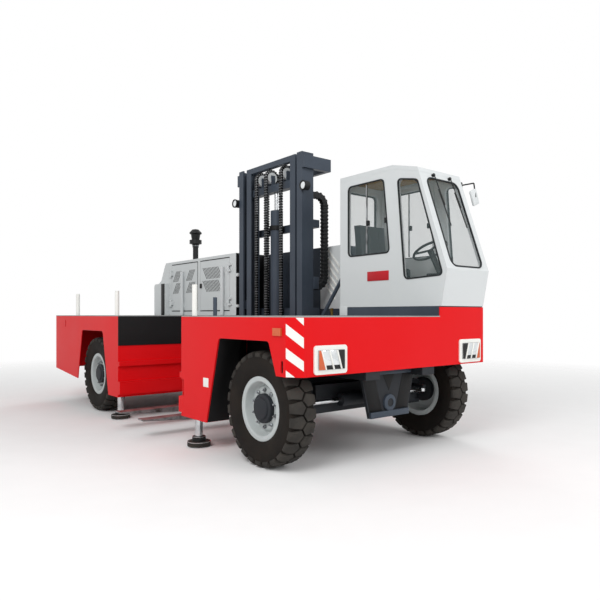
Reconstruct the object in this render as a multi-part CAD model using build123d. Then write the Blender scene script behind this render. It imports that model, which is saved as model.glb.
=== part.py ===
import os
from math import cos, pi, sin, tau

from build123d import *

# Frame: +X is forward, -Y is the load side, +Z is up from the ground; sizes are in millimetres
# Gaps between pieces that run in or seat on each other
RUNNING_GAP = 0.05
CLEAR = 0.3
MOVING_GAP = 6

# Body sections along X, from the front face back, and their panels
BODY_FRONT = 3125
FRONT_SECTION = 1932
WELL_WIDTH = 1740
REAR_SECTION = 2618
HALF_WIDTH = 1304
DECK_TOP = 1360
DECK_PLATE = 10
PANEL = 12
LEG_BOTTOM = 302
LEG_DEPTH = 260
LEG_NOTCH_Z = (520, 690)
LEG_NOTCH_DEPTH = 50
ARCH_TOP = 1146
ARCH_DEPTH = 760
ARCH_CORNER = 45
NOSE_BOTTOM = 857
CORNER_LENGTH = 120
CORNER_WIDTH = 98
TAIL_BOTTOM = 507
TAIL_TIP = 420
STEP_TOP = 1450
STEP_MARGIN = 24
SLOT_WIDTH = 30
SLOT_CORNER = 14
NOSE_SLOT_SETBACK = 50
NOSE_SLOT_Z = (885, 990)
TAIL_SLOT_SETBACK = 480
TAIL_SLOT_Z = (1180, 1290)

# Axles, and the wheel arches' corners measured from them
FRONT_OVERHANG = 640
REAR_AXLE_SETBACK = 1008
FRONT_ARCH_FOOT = 768
FRONT_ARCH_REAR = 535
FRONT_ARCH_FRONT = 279
FRONT_ARCH_NOSE = 389
REAR_ARCH_TIP = 551
REAR_ARCH_REAR = 361
REAR_ARCH_FRONT = 465
REAR_ARCH_FOOT = 673

# Wheels
TYRE_RADIUS = 525
TYRE_WIDTH = 275
TYRE_INSET = 76
LUG_COUNT = 26
LUG_SHARE = 0.76
LUG_SLOPE = 0.05
LUG_DEPTH = 26
SIDEWALL_SLOPE = 66
BEAD_RADIUS = 254
BEAD_GAP = 1
RIM_FLANGE = 38
RIM_WIDTH = 216
RIM_WALL = 14
DISC_SETBACK = 46
DISC_THICK = 22
DISC_FLAT = 66
HUB_RADIUS = 134
HUB_BACK = 40
CAP_RADIUS = 102
CAP_STEP = 26
CAP_REACH = 44
SPINDLE_RADIUS = 45
SPINDLE_REACH = 60
SPINDLE_GAP = 5

# Front axle: beam, yokes, knuckles and steering gear
KINGPIN_INSET = 210
KINGPIN_RADIUS = 30
BOSS_RADIUS = 52
BEAM_HALF = 100
BEAM_Z = (430, 570)
BEAM_CROWN_Z = 700
BEAM_CROWN_END = 620
BEAM_SETBACK = 70
YOKE_Z = 88
YOKE_THICK = 40
YOKE_HALF = 58
YOKE_ROOT = 20
PIVOT_RADIUS = 40
PIVOT_END = 20
STEER_ARM = 200
STEER_Z = 556
STEER_ROD_RADIUS = 22
STEER_CYLINDER_RADIUS = 62
STEER_CYLINDER_LENGTH = 800
STEER_BRACKET_SETBACK = 60
STEER_BRACKET_Z = (-60, 20)
EYE_SETBACK = 60
EYE_RADIUS = 38
EYE_THICK = 32
ARM_THICK = 30
ARM_ROOT_HALF = 35
ARM_TIP_HALF = 25
ARM_TIP_REACH = 30

# Rear axle
AXLE_TUBE_RADIUS = 95
AXLE_TUBE_SETBACK = 110
AXLE_SEAT_HALF = 110
DIFF_RADIUS = 215

# Frame under the deck, with the front axle's hangers
GIRDER_Y = (300, 480)
GIRDER_FOOT = 780
BRIDGE_INSIDE = 1010
BRIDGE_Z = (420, 1000)
CROSS_THICK = 100
HANGER_REACH = 430
HANGER_THICK = 30
HANGER_TOP_HALF = 360
HANGER_KNEE_Z = 770
HANGER_FOOT_HALF = 265
HANGER_FOOT_Z = 390

# Tow plate at the tail
TOW_REACH = 75
TOW_HALF = 70
TOW_THICK = 40
TOW_Z = 640
TOW_BACK_Z = (560, 760)
TOW_BACK_THICK = 20
TOW_PIN_RADIUS = 20
TOW_PIN_REACH = 42

# Mast guides in the well
LEDGE_TOP = 764
LEDGE_THICK = 60
LEDGE_REACH = 40
TRACK_BOTTOM = 507
TRACK_FOOT = 340
TRACK_REACH = 60
TRACK_END = 990
WELL_PANEL_FOOT = 970
WELL_PANEL_THICK = 10

# Outer mast, centred on the well
MAST_FACE = 457
MAST_DEPTH = 190
MAST_FOOT = 380
MAST_TOP = 3450
MAST_REAR = 910
UPRIGHT_FLANGE = 105
UPRIGHT_WEB = 25
TIE_Y = (690, 750)
TIE_HEIGHT = 100
TIE_DROP = 300
BACK_TIE = 60
TOP_ARM_DROP = 50
TOP_ARM_HEIGHT = 160
TOP_ARM_OUT = 45
TOP_ARM_IN = 15
ARM_WIDTH = 50
ARM_Z = (525, 685)
ARM_END = 960
ROLLER_RADIUS = 95
ROLLER_REACH = 85
ROLLER_SIDE_GAP = 8
ROLLER_THICK = 40
ROLLER_PIN = 30
ROLLER_Y = (545, 880)

# Inner mast, lift cylinder and chains
INNER_GAP = 60
INNER_FLANGE = 110
INNER_DEPTH = 150
INNER_WEB = 20
INNER_FOOT = 410
INNER_ROLLER_WIDTH = 60
INNER_ROLLER_RISE = (160, 1100)
INNER_ROLLER_PIN = 25
FOOT_TIE_Y = (484, 512)
FOOT_TIE_HEIGHT = 60
TOP_TIE_HEIGHT = 75
CROSSHEAD_DROP = 400
CROSSHEAD_HEIGHT = 100
CROSSHEAD_FRONT = 32
CYLINDER_SETBACK = 48
LIFT_BARREL_RADIUS = 86
LIFT_BARREL_DROP = 250
LIFT_BARREL_FLOOR = 40
LIFT_ROD_RADIUS = 32
LIFT_ROD_FOOT_GAP = 40
SEAT_PLATE_HALF = 110
SEAT_PLATE_THICK = 20
CHAIN_WHEEL_RADIUS = 76
CHAIN_WHEEL_DROP = 195
CHAIN_WHEEL_PIN = 15
CHAIN_SHARES = (-1, -0.2, 1)
CHAIN_SIDE_GAP = 168
CHAIN_WIDTH = 56
CHAIN_THICK = 36
CHAIN_FLATS = 8
CHAIN_FRONT_END = 1230
CHAIN_REAR_END = 800
CHAIN_MIDDLE_GAP = 40
EAR_THICK = 12
EAR_GAP = 4
EAR_HALF = 30

# Work lamps and the hose carrier on the outer mast
WORK_LAMP_RADIUS = 58
WORK_LAMP_GAP = 4
WORK_LAMP_Y = (425, 500)
WORK_LAMP_DROP = 450
WORK_LAMP_BRACKET_Y = (466, 500)
WORK_LAMP_BRACKET_HALF = 25
CARRIER_REACH = 250
CARRIER_DROPS = (1750, 490)
CARRIER_THICK = 70
CARRIER_WIDTH = 62
CARRIER_CORNER = 170

# Fork carriage and forks
CARRIAGE_FACE = 375
CARRIAGE_FOOT = 480
CARRIAGE_TOP = 1180
CARRIAGE_PLATE = 30
CARRIAGE_PLATE_REACH = 50
CARRIAGE_SIDE_GAP = 5
CARRIAGE_ROLLER_SETBACK = 90
BAR_HEIGHT = 120
BAR_THICK = 55
FORK_INSET = 47
FORK_WIDTH = 150
FORK_THICK = 65
FORK_TOP = 212
FORK_TIP_Y = -1520
FORK_TIP_THICK = 16
FORK_TAPER = 700

# Stabiliser jacks, stakes and bars on the deck
JACK_Y = -1200
FRONT_JACK_SETBACK = 70
JACK_ROD_RADIUS = 40
JACK_SLEEVE_RADIUS = 60
JACK_CUP_RADIUS = 69
JACK_CUP_HEIGHT = 50
JACK_FOOT_RADIUS = 120
JACK_FOOT_THICK = 45
JACK_GROUND_GAP = 10
JACK_TOP = 850
STAKE_RADIUS = 28
STAKE_TOP = 1685
STAKE_INSET = 54
TAIL_STAKE_SETBACK = 903
POST_SETBACK = 690
POST_RADIUS = 20
POST_TOP = 1543
STAY_Y = 900
STAY_RADIUS = 19
STAY_TOP = 1900
STAY_SINK = 30

# Hood over the engine: rear slope as (distance from the rear end, height)
HOOD_FACE = 500
HOOD_TOP = 2290
HOOD_WALL = 40
HOOD_FRONT_GAP = 11
HOOD_SLOPE = ((0, 1930), (106, 1985), (252, 2240), (300, 2290))
HOOD_SLOPE_WALL = 20
HOOD_DOOR_GAP = 8
HOOD_DOOR_FOOT = 1440
HOOD_DOOR_TOP = 2230
REAR_DOOR_SETBACK = 533
REAR_DOOR_WIDTH = 905
DOOR_PILLAR = 102
FRONT_DOOR_SETBACK = 181
RIB_RADIUS = 29
RIB_TOP = 2100
RIB_FOOT_GAP = 8
RIB_BRACKET_HALF = 15
RIB_BRACKET_Z = ((1500, 1560), (2010, 2070))
SLIT_WIDTH = 16
SLIT_PITCH = 42
SLIT_LEAN = 130
SLIT_ROWS = ((1735, 1915), (1940, 2120))
HINGE_RADIUS = 9
HINGE_SHELL = 18
HINGE_LENGTH = 60
HINGE_LEAF = 60
HINGE_LEAF_OVER = 4
HOOD_HINGE_Z = (1540, 2050)

# Engine, intake as (radius, height) over the hood, side box, and the far side's housing and louvred panel
ENGINE_END_GAP = 700
ENGINE_SIDE_GAP = 200
ENGINE_TOP_GAP = 150
INTAKE_SETBACK = 1015
INTAKE_Y = 700
INTAKE = ((46, 0), (46, 236), (54, 236), (54, 262), (64, 289), (103, 296), (103, 360), (66, 368), (80, 455),
          (104, 470), (104, 490), (60, 540), (0, 552))
BOX_SETBACK = 5
BOX_LENGTH = 420
BOX_THICK = 90
BOX_HEIGHT = 560
BOX_CORNER = 60
HOUSING_TOP = 2285
GRILLE_THICK = 30
GRILLE_END_GAP = 40
GRILLE_CORNER = 130
GRILLE_EDGE = 30
GRILLE_ROWS = ((1480, 1700), (1740, 1960), (2000, 2220))

# Cab: corners of its side as distances behind the body's front face, and heights
CAB_FACE = 583
CAB_REAR_BACK = 1497
CAB_BREAK_BACK = 660
CAB_BROW_BACK = 310
CAB_PROW_REACH = 70
CAB_BASE_TOP = 1460
CAB_WALL = 45
CAB_PROW_Z = 1837
CAB_BROW_Z = 2925
CAB_ROOF_Z = 3010
CAB_ROOF_THICK = 50
GLASS = 6
GLASS_DEPTH = 15
WINDOW_CORNER = 60
SEAL_GAP = 0.3
WINDOW_TOP = 2888
WINDOW_FOOT = 2050
SCREEN_Z = (1860, 2830)
SCREEN_SIDE = 40
BACK_WINDOW_SIDE = 70
BACK_WINDOW_TOP = 2860
# Side windows as (distance behind the front face, height)
LOAD_REAR_WINDOW = ((1362, WINDOW_TOP), (783, WINDOW_TOP), (694, WINDOW_FOOT), (1362, WINDOW_FOOT))
LOAD_FRONT_WINDOW = ((592, 2855), (305, 2800), (-28, 1768), (493, 1745))
FAR_FRONT_WINDOW = ((480, 2834), (305, 2800), (-28, 1768), (390, 1750))
DOOR_WINDOW = ((1340, 2860), (700, 2860), (640, WINDOW_FOOT), (1340, WINDOW_FOOT))
DOOR_REAR_BACK = 1400
DOOR_FOOT_BACK = 520
DOOR_HEAD_BACK = 640
DOOR_FOOT_RISE = 30
DOOR_HEAD_Z = 2915
DOOR_GAP = 8
DOOR_HINGE_BACK = 500
DOOR_HINGE_RISE = (120, 480)
DOOR_LEAF = 90

# Inside the cab
CONSOLE = ((330, CAB_BASE_TOP), (60, CAB_BASE_TOP), (10, 1800), (240, 1800))
CONSOLE_SIDE_GAP = 20
COLUMN_FOOT = (230, 1700)
WHEEL_PLACE = (430, 2080)
WHEEL_TILT = -28
WHEEL_RADIUS = 190
WHEEL_RIM = 14
COLUMN_RADIUS = 32
SPOKE_TURNS = (0, 120, 240)
SPOKE_WIDTH = 34
SPOKE_THICK = 10
SEAT_SETBACK = 130
SEAT_LENGTH = 490
SEAT_HALF = 225
SEAT_Z = 1780
CUSHION = 130
BACKREST_HEIGHT = 680
BACKREST_HEAD = (-50, 60)
SEAT_BASE_SIDE = 50

# Lamps and mirror
LOAD_LAMP_Y = -1105
FAR_LAMP_Y = 870
LAMP_WIDTH = 370
LAMP_Z = (872, 1115)
LAMP_PLATE = 14
LAMP_CORNER = 28
LENS = 10
LENS_EDGE = 38
MARKER_SETBACK = 158
MARKER_LENGTH = 111
MARKER_Z = (1196, 1260)
MARKER_THICK = 18
TAIL_LAMP_Y = (950, 1200)
TAIL_LAMP_Z = (1000, 1120)
TAIL_LAMP_THICK = 20
MIRROR_BACK = 190
MIRROR_Y = (1330, 1515)
MIRROR_Z = (2590, 2800)
MIRROR_REACH = (-15, 20)
MIRROR_ARM_Z = 2850
MIRROR_ARM_RADIUS = 11
MIRROR_ARM_BACK = 330
MIRROR_ARM_SINK = 60
MIRROR_FOOT_HALF = 25
MIRROR_FOOT_RISE = 20
MIRROR_FOOT_THICK = 22

# Derived places
WELL_FRONT = BODY_FRONT - FRONT_SECTION
WELL_REAR = WELL_FRONT - WELL_WIDTH
WELL_MID = (WELL_FRONT + WELL_REAR) / 2
BODY_REAR = WELL_REAR - REAR_SECTION
FRONT_AXLE = BODY_FRONT - FRONT_OVERHANG
REAR_AXLE = WELL_REAR - REAR_AXLE_SETBACK
FRONT_FOOT = FRONT_AXLE - FRONT_ARCH_FOOT
REAR_FOOT = REAR_AXLE + REAR_ARCH_FOOT
JACK_X = {"front": (WELL_FRONT + FRONT_FOOT) / 2 - FRONT_JACK_SETBACK, "rear": (WELL_REAR + REAR_FOOT) / 2}
PANEL_TOP = DECK_TOP - DECK_PLATE
WHEEL_Y = HALF_WIDTH - TYRE_INSET - TYRE_WIDTH / 2
KINGPIN_Y = WHEEL_Y - KINGPIN_INSET
SPINDLE_END = WHEEL_Y + SPINDLE_REACH
MAST_HALF = WELL_WIDTH / 2 - ARM_WIDTH - ROLLER_REACH - ROLLER_SIDE_GAP
INNER_Y = MAST_FACE + MAST_DEPTH / 2
CORNER_X = BODY_FRONT - CORNER_LENGTH
CORNER_Y = -HALF_WIDTH + CORNER_WIDTH
FULL_WIDTH = (-HALF_WIDTH, HALF_WIDTH)
LOAD_SKIN = (-HALF_WIDTH, -HALF_WIDTH + PANEL)
FAR_SKIN = (HALF_WIDTH - PANEL, HALF_WIDTH)
STEP_Y = (CAB_FACE - STEP_MARGIN, HALF_WIDTH)
CAB_REAR = BODY_FRONT - CAB_REAR_BACK
HINGE_OUT = HINGE_SHELL + MOVING_GAP

nodes = {}


def block(x, y, z):
    """Box between two places along each axis, in either order."""
    spans = [sorted(span) for span in (x, y, z)]
    size = [high - low for low, high in spans]
    return Pos(*[(low + high) / 2 for low, high in spans]) * Box(*size)


def face_of(points, corner=0):
    """Flat face with straight sides, its corners rounded where a radius is given."""
    face = make_face(Polyline(*points, close=True))
    return fillet(face.vertices(), corner) if corner else face


def slab_xz(face, y):
    """Plate from a face drawn in (x, z), between two places along Y."""
    low, high = sorted(y)
    return Pos(0, low, 0) * extrude(Plane.XZ * face, high - low, dir=(0, 1, 0))


def slab_yz(face, x):
    """Plate from a face drawn in (y, z), between two places along X."""
    low, high = sorted(x)
    return Pos(low, 0, 0) * extrude(Plane.YZ * face, high - low, dir=(1, 0, 0))


def plate_xz(points, y, corner=0):
    """Plate with an (x, z) outline, between two places along Y."""
    return slab_xz(face_of(points, corner), y)


def plate_yz(points, x, corner=0):
    """Plate with a (y, z) outline, between two places along X."""
    return slab_yz(face_of(points, corner), x)


def plate_xy(points, z):
    """Plate with an (x, y) outline, between two heights."""
    low, high = z
    return Pos(0, 0, low) * extrude(face_of(points), high - low, dir=(0, 0, 1))


def rectangle(across, up):
    """Corners of a rectangle between two places across and two heights."""
    (left, right), (low, high) = across, up
    return [(left, low), (right, low), (right, high), (left, high)]


def rod_x(x, y, z, radius):
    """Round bar along X."""
    low, high = sorted(x)
    return Pos((low + high) / 2, y, z) * Rot(0, 90, 0) * Cylinder(radius, high - low)


def rod_y(x, y, z, radius):
    """Round bar along Y."""
    low, high = sorted(y)
    return Pos(x, (low + high) / 2, z) * Rot(90, 0, 0) * Cylinder(radius, high - low)


def rod_z(x, y, z, radius):
    """Round bar along Z."""
    low, high = z
    return Pos(x, y, (low + high) / 2) * Cylinder(radius, high - low)


def bar_between(start, end, radius):
    """Round bar from one point to another."""
    line = Line(start, end)
    return sweep(Plane(start, z_dir=line % 0) * Circle(radius), path=line)


def leaning_slits(x, rows, lean, y):
    """Rows of leaning slits between two places along X, as one cutter through a plate."""
    cuts = []
    half_lean = SLIT_LEAN * lean / 2
    half_slit = SLIT_WIDTH / 2
    low, high = x
    count = int((high - low - SLIT_LEAN - SLIT_WIDTH) / SLIT_PITCH) + 1
    for number in range(count):
        middle = (low + high) / 2 + (number - (count - 1) / 2) * SLIT_PITCH
        foot = middle - half_lean
        head = middle + half_lean
        for bottom, top in rows:
            cuts.append(plate_xz([(foot - half_slit, bottom), (foot + half_slit, bottom),
                                  (head + half_slit, top), (head - half_slit, top)], y))
    return Part() + cuts


def behind_front(points):
    """Side outline in (x, z) from distances behind the body's front face and heights."""
    return [(BODY_FRONT - distance, z) for distance, z in points]


# Red sections: side skins with rounded arch corners, and upright slots through the load skin
def side_skin(outline, y):
    """Side skin with its two arch corners rounded."""
    face = face_of(outline)
    arch = face.vertices().filter_by_position(Axis.Y, ARCH_TOP - CLEAR, ARCH_TOP + CLEAR)
    return slab_xz(fillet(arch, ARCH_CORNER), y)


def front_outline(nose_x):
    """Outline of a front side skin that ends at a nose place."""
    return [
        (WELL_FRONT, LEG_BOTTOM),
        (FRONT_FOOT, LEG_BOTTOM),
        (FRONT_AXLE - FRONT_ARCH_REAR, ARCH_TOP),
        (FRONT_AXLE + FRONT_ARCH_FRONT, ARCH_TOP),
        (FRONT_AXLE + FRONT_ARCH_NOSE, NOSE_BOTTOM),
        (nose_x, NOSE_BOTTOM),
        (nose_x, PANEL_TOP),
        (WELL_FRONT, PANEL_TOP),
    ]


def skin_slot(x, z):
    """Upright slot with round ends through the load skin."""
    return plate_xz(rectangle((x - SLOT_WIDTH / 2, x + SLOT_WIDTH / 2), z), LOAD_SKIN, SLOT_CORNER)


def leg(jack, foot, top, well):
    """Box leg around a jack: inner wall, slanted arch wall and a bottom plate with the jack's hole."""
    inside = -HALF_WIDTH + LEG_DEPTH
    lean = PANEL if foot < well else -PANEL
    inner = plate_xz([(well, LEG_BOTTOM), (foot, LEG_BOTTOM), (top, ARCH_TOP), (top, PANEL_TOP),
                      (well, PANEL_TOP)], (inside - PANEL, inside))
    slant = plate_xz([(foot, LEG_BOTTOM), (top, ARCH_TOP), (top + lean, ARCH_TOP), (foot + lean, LEG_BOTTOM)],
                     (-HALF_WIDTH, inside))
    floor = block((foot, well), (-HALF_WIDTH, inside), (LEG_BOTTOM, LEG_BOTTOM + PANEL))
    return inner + slant + floor - rod_z(jack, JACK_Y, (0, ARCH_TOP), JACK_SLEEVE_RADIUS + CLEAR)


def arch_lids(low, high):
    """Flat lids over a pair of wheels, between the side skins and the frame."""
    load = block((low, high), (-HALF_WIDTH, -HALF_WIDTH + ARCH_DEPTH), (ARCH_TOP, ARCH_TOP + PANEL))
    far = block((low, high), (HALF_WIDTH - ARCH_DEPTH, HALF_WIDTH), (ARCH_TOP, ARCH_TOP + PANEL))
    return load + far


# Front section: load skin to the cut corner, far skin to the front face
front = side_skin(front_outline(CORNER_X), LOAD_SKIN) + side_skin(front_outline(BODY_FRONT), FAR_SKIN)
front += plate_xy([(CORNER_X, -HALF_WIDTH), (BODY_FRONT, CORNER_Y), (BODY_FRONT - PANEL, CORNER_Y + PANEL),
                   (CORNER_X - PANEL, -HALF_WIDTH + PANEL)], (NOSE_BOTTOM, PANEL_TOP))
front += block((BODY_FRONT - PANEL, BODY_FRONT), (CORNER_Y, HALF_WIDTH), (NOSE_BOTTOM, PANEL_TOP))
front += block((BODY_FRONT - PANEL, BODY_FRONT), STEP_Y, (PANEL_TOP, STEP_TOP))
front += block((WELL_FRONT, WELL_FRONT + PANEL), FULL_WIDTH, (LEG_BOTTOM, PANEL_TOP))
front += leg(JACK_X["front"], FRONT_FOOT, FRONT_AXLE - FRONT_ARCH_REAR, WELL_FRONT)
front += arch_lids(FRONT_AXLE - FRONT_ARCH_REAR - PANEL, FRONT_AXLE + FRONT_ARCH_FRONT)
front -= block((WELL_FRONT, WELL_FRONT + LEG_NOTCH_DEPTH), LOAD_SKIN, LEG_NOTCH_Z)
nodes["front_body"] = front - skin_slot(CORNER_X - NOSE_SLOT_SETBACK, NOSE_SLOT_Z)

# Rear section: the tail slopes down to a tip behind the rear wheel
REAR_OUTLINE = [
    (BODY_REAR, TAIL_BOTTOM),
    (REAR_AXLE - REAR_ARCH_TIP, TAIL_TIP),
    (REAR_AXLE - REAR_ARCH_REAR, ARCH_TOP),
    (REAR_AXLE + REAR_ARCH_FRONT, ARCH_TOP),
    (REAR_FOOT, LEG_BOTTOM),
    (WELL_REAR, LEG_BOTTOM),
    (WELL_REAR, PANEL_TOP),
    (BODY_REAR, PANEL_TOP),
]
rear = side_skin(REAR_OUTLINE, LOAD_SKIN) + side_skin(REAR_OUTLINE, FAR_SKIN)
rear += block((BODY_REAR, BODY_REAR + PANEL), FULL_WIDTH, (TAIL_BOTTOM, PANEL_TOP))
rear += block((WELL_REAR - PANEL, WELL_REAR), FULL_WIDTH, (LEG_BOTTOM, PANEL_TOP))
rear += leg(JACK_X["rear"], REAR_FOOT, REAR_AXLE + REAR_ARCH_FRONT, WELL_REAR)
rear += arch_lids(REAR_AXLE - REAR_ARCH_REAR, REAR_AXLE + REAR_ARCH_FRONT + PANEL)
nodes["rear_body"] = rear - skin_slot(BODY_REAR + TAIL_SLOT_SETBACK, TAIL_SLOT_Z)

# Deck plates lie on the sections, notched for the cab's red step
front_deck = plate_xy([(WELL_FRONT, -HALF_WIDTH), (CORNER_X, -HALF_WIDTH), (BODY_FRONT, CORNER_Y),
                       (BODY_FRONT, HALF_WIDTH), (WELL_FRONT, HALF_WIDTH)], (PANEL_TOP, DECK_TOP))
front_deck -= block((BODY_FRONT - PANEL, BODY_FRONT), STEP_Y, (PANEL_TOP, DECK_TOP))
nodes["deck_plates"] = front_deck + block((BODY_REAR, WELL_REAR), FULL_WIDTH, (PANEL_TOP, DECK_TOP))

# Frame: a pair of girders in each section, joined past the well by the bridge beam on the far side
BRIDGE_Y = (BRIDGE_INSIDE, HALF_WIDTH - PANEL)
frame = block((WELL_REAR, WELL_FRONT), BRIDGE_Y, BRIDGE_Z)
for section in ((BODY_REAR + PANEL, WELL_REAR - PANEL), (WELL_FRONT + PANEL, BODY_FRONT - PANEL)):
    for side in (-1, 1):
        frame += block(section, [side * y for y in GIRDER_Y], (GIRDER_FOOT, PANEL_TOP))
for wall in (WELL_REAR - PANEL - CROSS_THICK, WELL_FRONT + PANEL):
    frame += block((wall, wall + CROSS_THICK), (-GIRDER_Y[1], BRIDGE_Y[1]), (GIRDER_FOOT, PANEL_TOP))

# Hangers for the front axle's pivot pin, ahead of and behind the beam
HANGER = [(-HANGER_TOP_HALF, PANEL_TOP), (-HANGER_TOP_HALF, HANGER_KNEE_Z),
          (-HANGER_FOOT_HALF, HANGER_FOOT_Z), (HANGER_FOOT_HALF, HANGER_FOOT_Z),
          (HANGER_TOP_HALF, HANGER_KNEE_Z), (HANGER_TOP_HALF, PANEL_TOP)]
pivot_half = HANGER_REACH + HANGER_THICK + PIVOT_END
pivot_x = (FRONT_AXLE - pivot_half, FRONT_AXLE + pivot_half)
hangers = Part()
for x in (FRONT_AXLE - HANGER_REACH - HANGER_THICK, FRONT_AXLE + HANGER_REACH):
    hangers += plate_yz(HANGER, (x, x + HANGER_THICK))
frame += hangers - rod_x(pivot_x, 0, TYRE_RADIUS, PIVOT_RADIUS + CLEAR)

# Springless seats that carry the rear axle on the girders
for side in (-1, 1):
    frame += block((REAR_AXLE - AXLE_SEAT_HALF, REAR_AXLE + AXLE_SEAT_HALF), [side * y for y in GIRDER_Y],
                   (TYRE_RADIUS, GIRDER_FOOT))
nodes["chassis_frame"] = frame - rod_y(REAR_AXLE, FULL_WIDTH, TYRE_RADIUS, AXLE_TUBE_RADIUS + CLEAR)

# Tow plate at the tail, with an upright pin hole
tow = block((BODY_REAR - TOW_REACH, BODY_REAR), (-TOW_HALF, TOW_HALF), (TOW_Z, TOW_Z + TOW_THICK))
tow += block((BODY_REAR - TOW_BACK_THICK, BODY_REAR), (-TOW_HALF, TOW_HALF), TOW_BACK_Z)
nodes["tow_plate"] = tow - rod_z(BODY_REAR - TOW_PIN_REACH, 0, (TOW_Z, TOW_Z + TOW_THICK), TOW_PIN_RADIUS)

# Guide ledges on both well walls: the mast's rollers run between the upper and the lower one
ledges = []
for wall, into in ((WELL_REAR, 1), (WELL_FRONT, -1)):
    ledges.append(block((wall, wall + into * LEDGE_REACH), (-HALF_WIDTH, TRACK_END),
                        (LEDGE_TOP - LEDGE_THICK, LEDGE_TOP)))
    ledges.append(block((wall, wall + into * TRACK_REACH), (-HALF_WIDTH, TRACK_END),
                        (TRACK_FOOT, TRACK_BOTTOM)))
nodes["guide_ledges"] = Part() + ledges

# Black panel on the rear wall of the well, from the deck down
nodes["well_panel"] = block((WELL_REAR, WELL_REAR + WELL_PANEL_THICK), (-HALF_WIDTH, TRACK_END),
                            (WELL_PANEL_FOOT, PANEL_TOP))

# Stakes on the deck's load edge; a slim post, and a stay from the deck to the cab, trimmed to both
STAKE_X = (BODY_REAR + TAIL_STAKE_SETBACK, JACK_X["rear"], JACK_X["front"])
STAKE_Y = -HALF_WIDTH + STAKE_INSET
nodes["stakes"] = Part() + [rod_z(x, STAKE_Y, (DECK_TOP, STAKE_TOP), STAKE_RADIUS) for x in STAKE_X]
stay = bar_between((WELL_FRONT + STAY_SINK, STAY_Y, DECK_TOP - STAY_SINK),
                   (CAB_REAR + STAY_SINK, STAY_Y, STAY_TOP), STAY_RADIUS)
stay &= block((WELL_FRONT, CAB_REAR), (CAB_FACE, HALF_WIDTH), (DECK_TOP, CAB_ROOF_Z))
nodes["deck_bars"] = stay + rod_z(FRONT_AXLE - POST_SETBACK, STAKE_Y, (DECK_TOP, POST_TOP), POST_RADIUS)

# Jack sleeves in the legs; rods with a cup on a round foot slide in them
sleeves = []
for name, x in JACK_X.items():
    sleeves.append(rod_z(x, JACK_Y, (LEG_BOTTOM, JACK_TOP), JACK_SLEEVE_RADIUS)
                   - rod_z(x, JACK_Y, (LEG_BOTTOM, JACK_TOP), JACK_ROD_RADIUS + CLEAR))
    foot_top = JACK_GROUND_GAP + JACK_FOOT_THICK
    jack = rod_z(x, JACK_Y, (JACK_GROUND_GAP, foot_top), JACK_FOOT_RADIUS)
    jack += rod_z(x, JACK_Y, (foot_top, foot_top + JACK_CUP_HEIGHT), JACK_CUP_RADIUS)
    nodes[f"{name}_jack"] = jack + rod_z(x, JACK_Y, (foot_top, JACK_TOP), JACK_ROD_RADIUS)
nodes["jack_sleeves"] = Part() + sleeves

# Rear axle: a straight tube with the differential case and a spindle at each end
axle_end = WHEEL_Y - AXLE_TUBE_SETBACK
axle = rod_y(REAR_AXLE, (-axle_end, axle_end), TYRE_RADIUS, AXLE_TUBE_RADIUS)
axle += rod_y(REAR_AXLE, (-SPINDLE_END, SPINDLE_END), TYRE_RADIUS, SPINDLE_RADIUS)
nodes["rear_axle"] = axle + Pos(REAR_AXLE, 0, TYRE_RADIUS) * Sphere(DIFF_RADIUS)

# Front axle: box beam on its pivot pin, yokes for the knuckles, and the steering cylinder in front
beam_x = (FRONT_AXLE - BEAM_HALF, FRONT_AXLE + BEAM_HALF)
beam_end = KINGPIN_Y - BEAM_SETBACK
beam = block(beam_x, (-beam_end, beam_end), BEAM_Z)
beam += block(beam_x, (-BEAM_CROWN_END, BEAM_CROWN_END), (BEAM_Z[0], BEAM_CROWN_Z))
for side in (-1, 1):
    for z in (TYRE_RADIUS - YOKE_Z - YOKE_THICK, TYRE_RADIUS + YOKE_Z):
        beam += block((FRONT_AXLE - YOKE_HALF, FRONT_AXLE + YOKE_HALF),
                      (side * (BEAM_CROWN_END - YOKE_ROOT), side * (KINGPIN_Y + YOKE_HALF)),
                      (z, z + YOKE_THICK))
    beam -= rod_z(FRONT_AXLE, side * KINGPIN_Y, (0, ARCH_TOP), KINGPIN_RADIUS + RUNNING_GAP)
beam += rod_x(pivot_x, 0, TYRE_RADIUS, PIVOT_RADIUS)
STEER_X = FRONT_AXLE + STEER_ARM
steer_half = STEER_CYLINDER_LENGTH / 2
bracket_half = steer_half - STEER_BRACKET_SETBACK
beam += rod_y(STEER_X, (-steer_half, steer_half), STEER_Z, STEER_CYLINDER_RADIUS)
beam += block((FRONT_AXLE, STEER_X), (-bracket_half, bracket_half),
              [STEER_Z + rise for rise in STEER_BRACKET_Z])
nodes["front_axle"] = beam - rod_y(STEER_X, FULL_WIDTH, STEER_Z, STEER_ROD_RADIUS + CLEAR)

# Steering rod: runs through the cylinder, an eye under each knuckle's arm
EYE_Y = KINGPIN_Y - EYE_SETBACK
steering = rod_y(STEER_X, (-EYE_Y, EYE_Y), STEER_Z, STEER_ROD_RADIUS)
for side in (-1, 1):
    steering += rod_z(STEER_X, side * EYE_Y, (STEER_Z - EYE_THICK / 2, STEER_Z + EYE_THICK / 2), EYE_RADIUS)
nodes["steering_rod"] = steering

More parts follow.
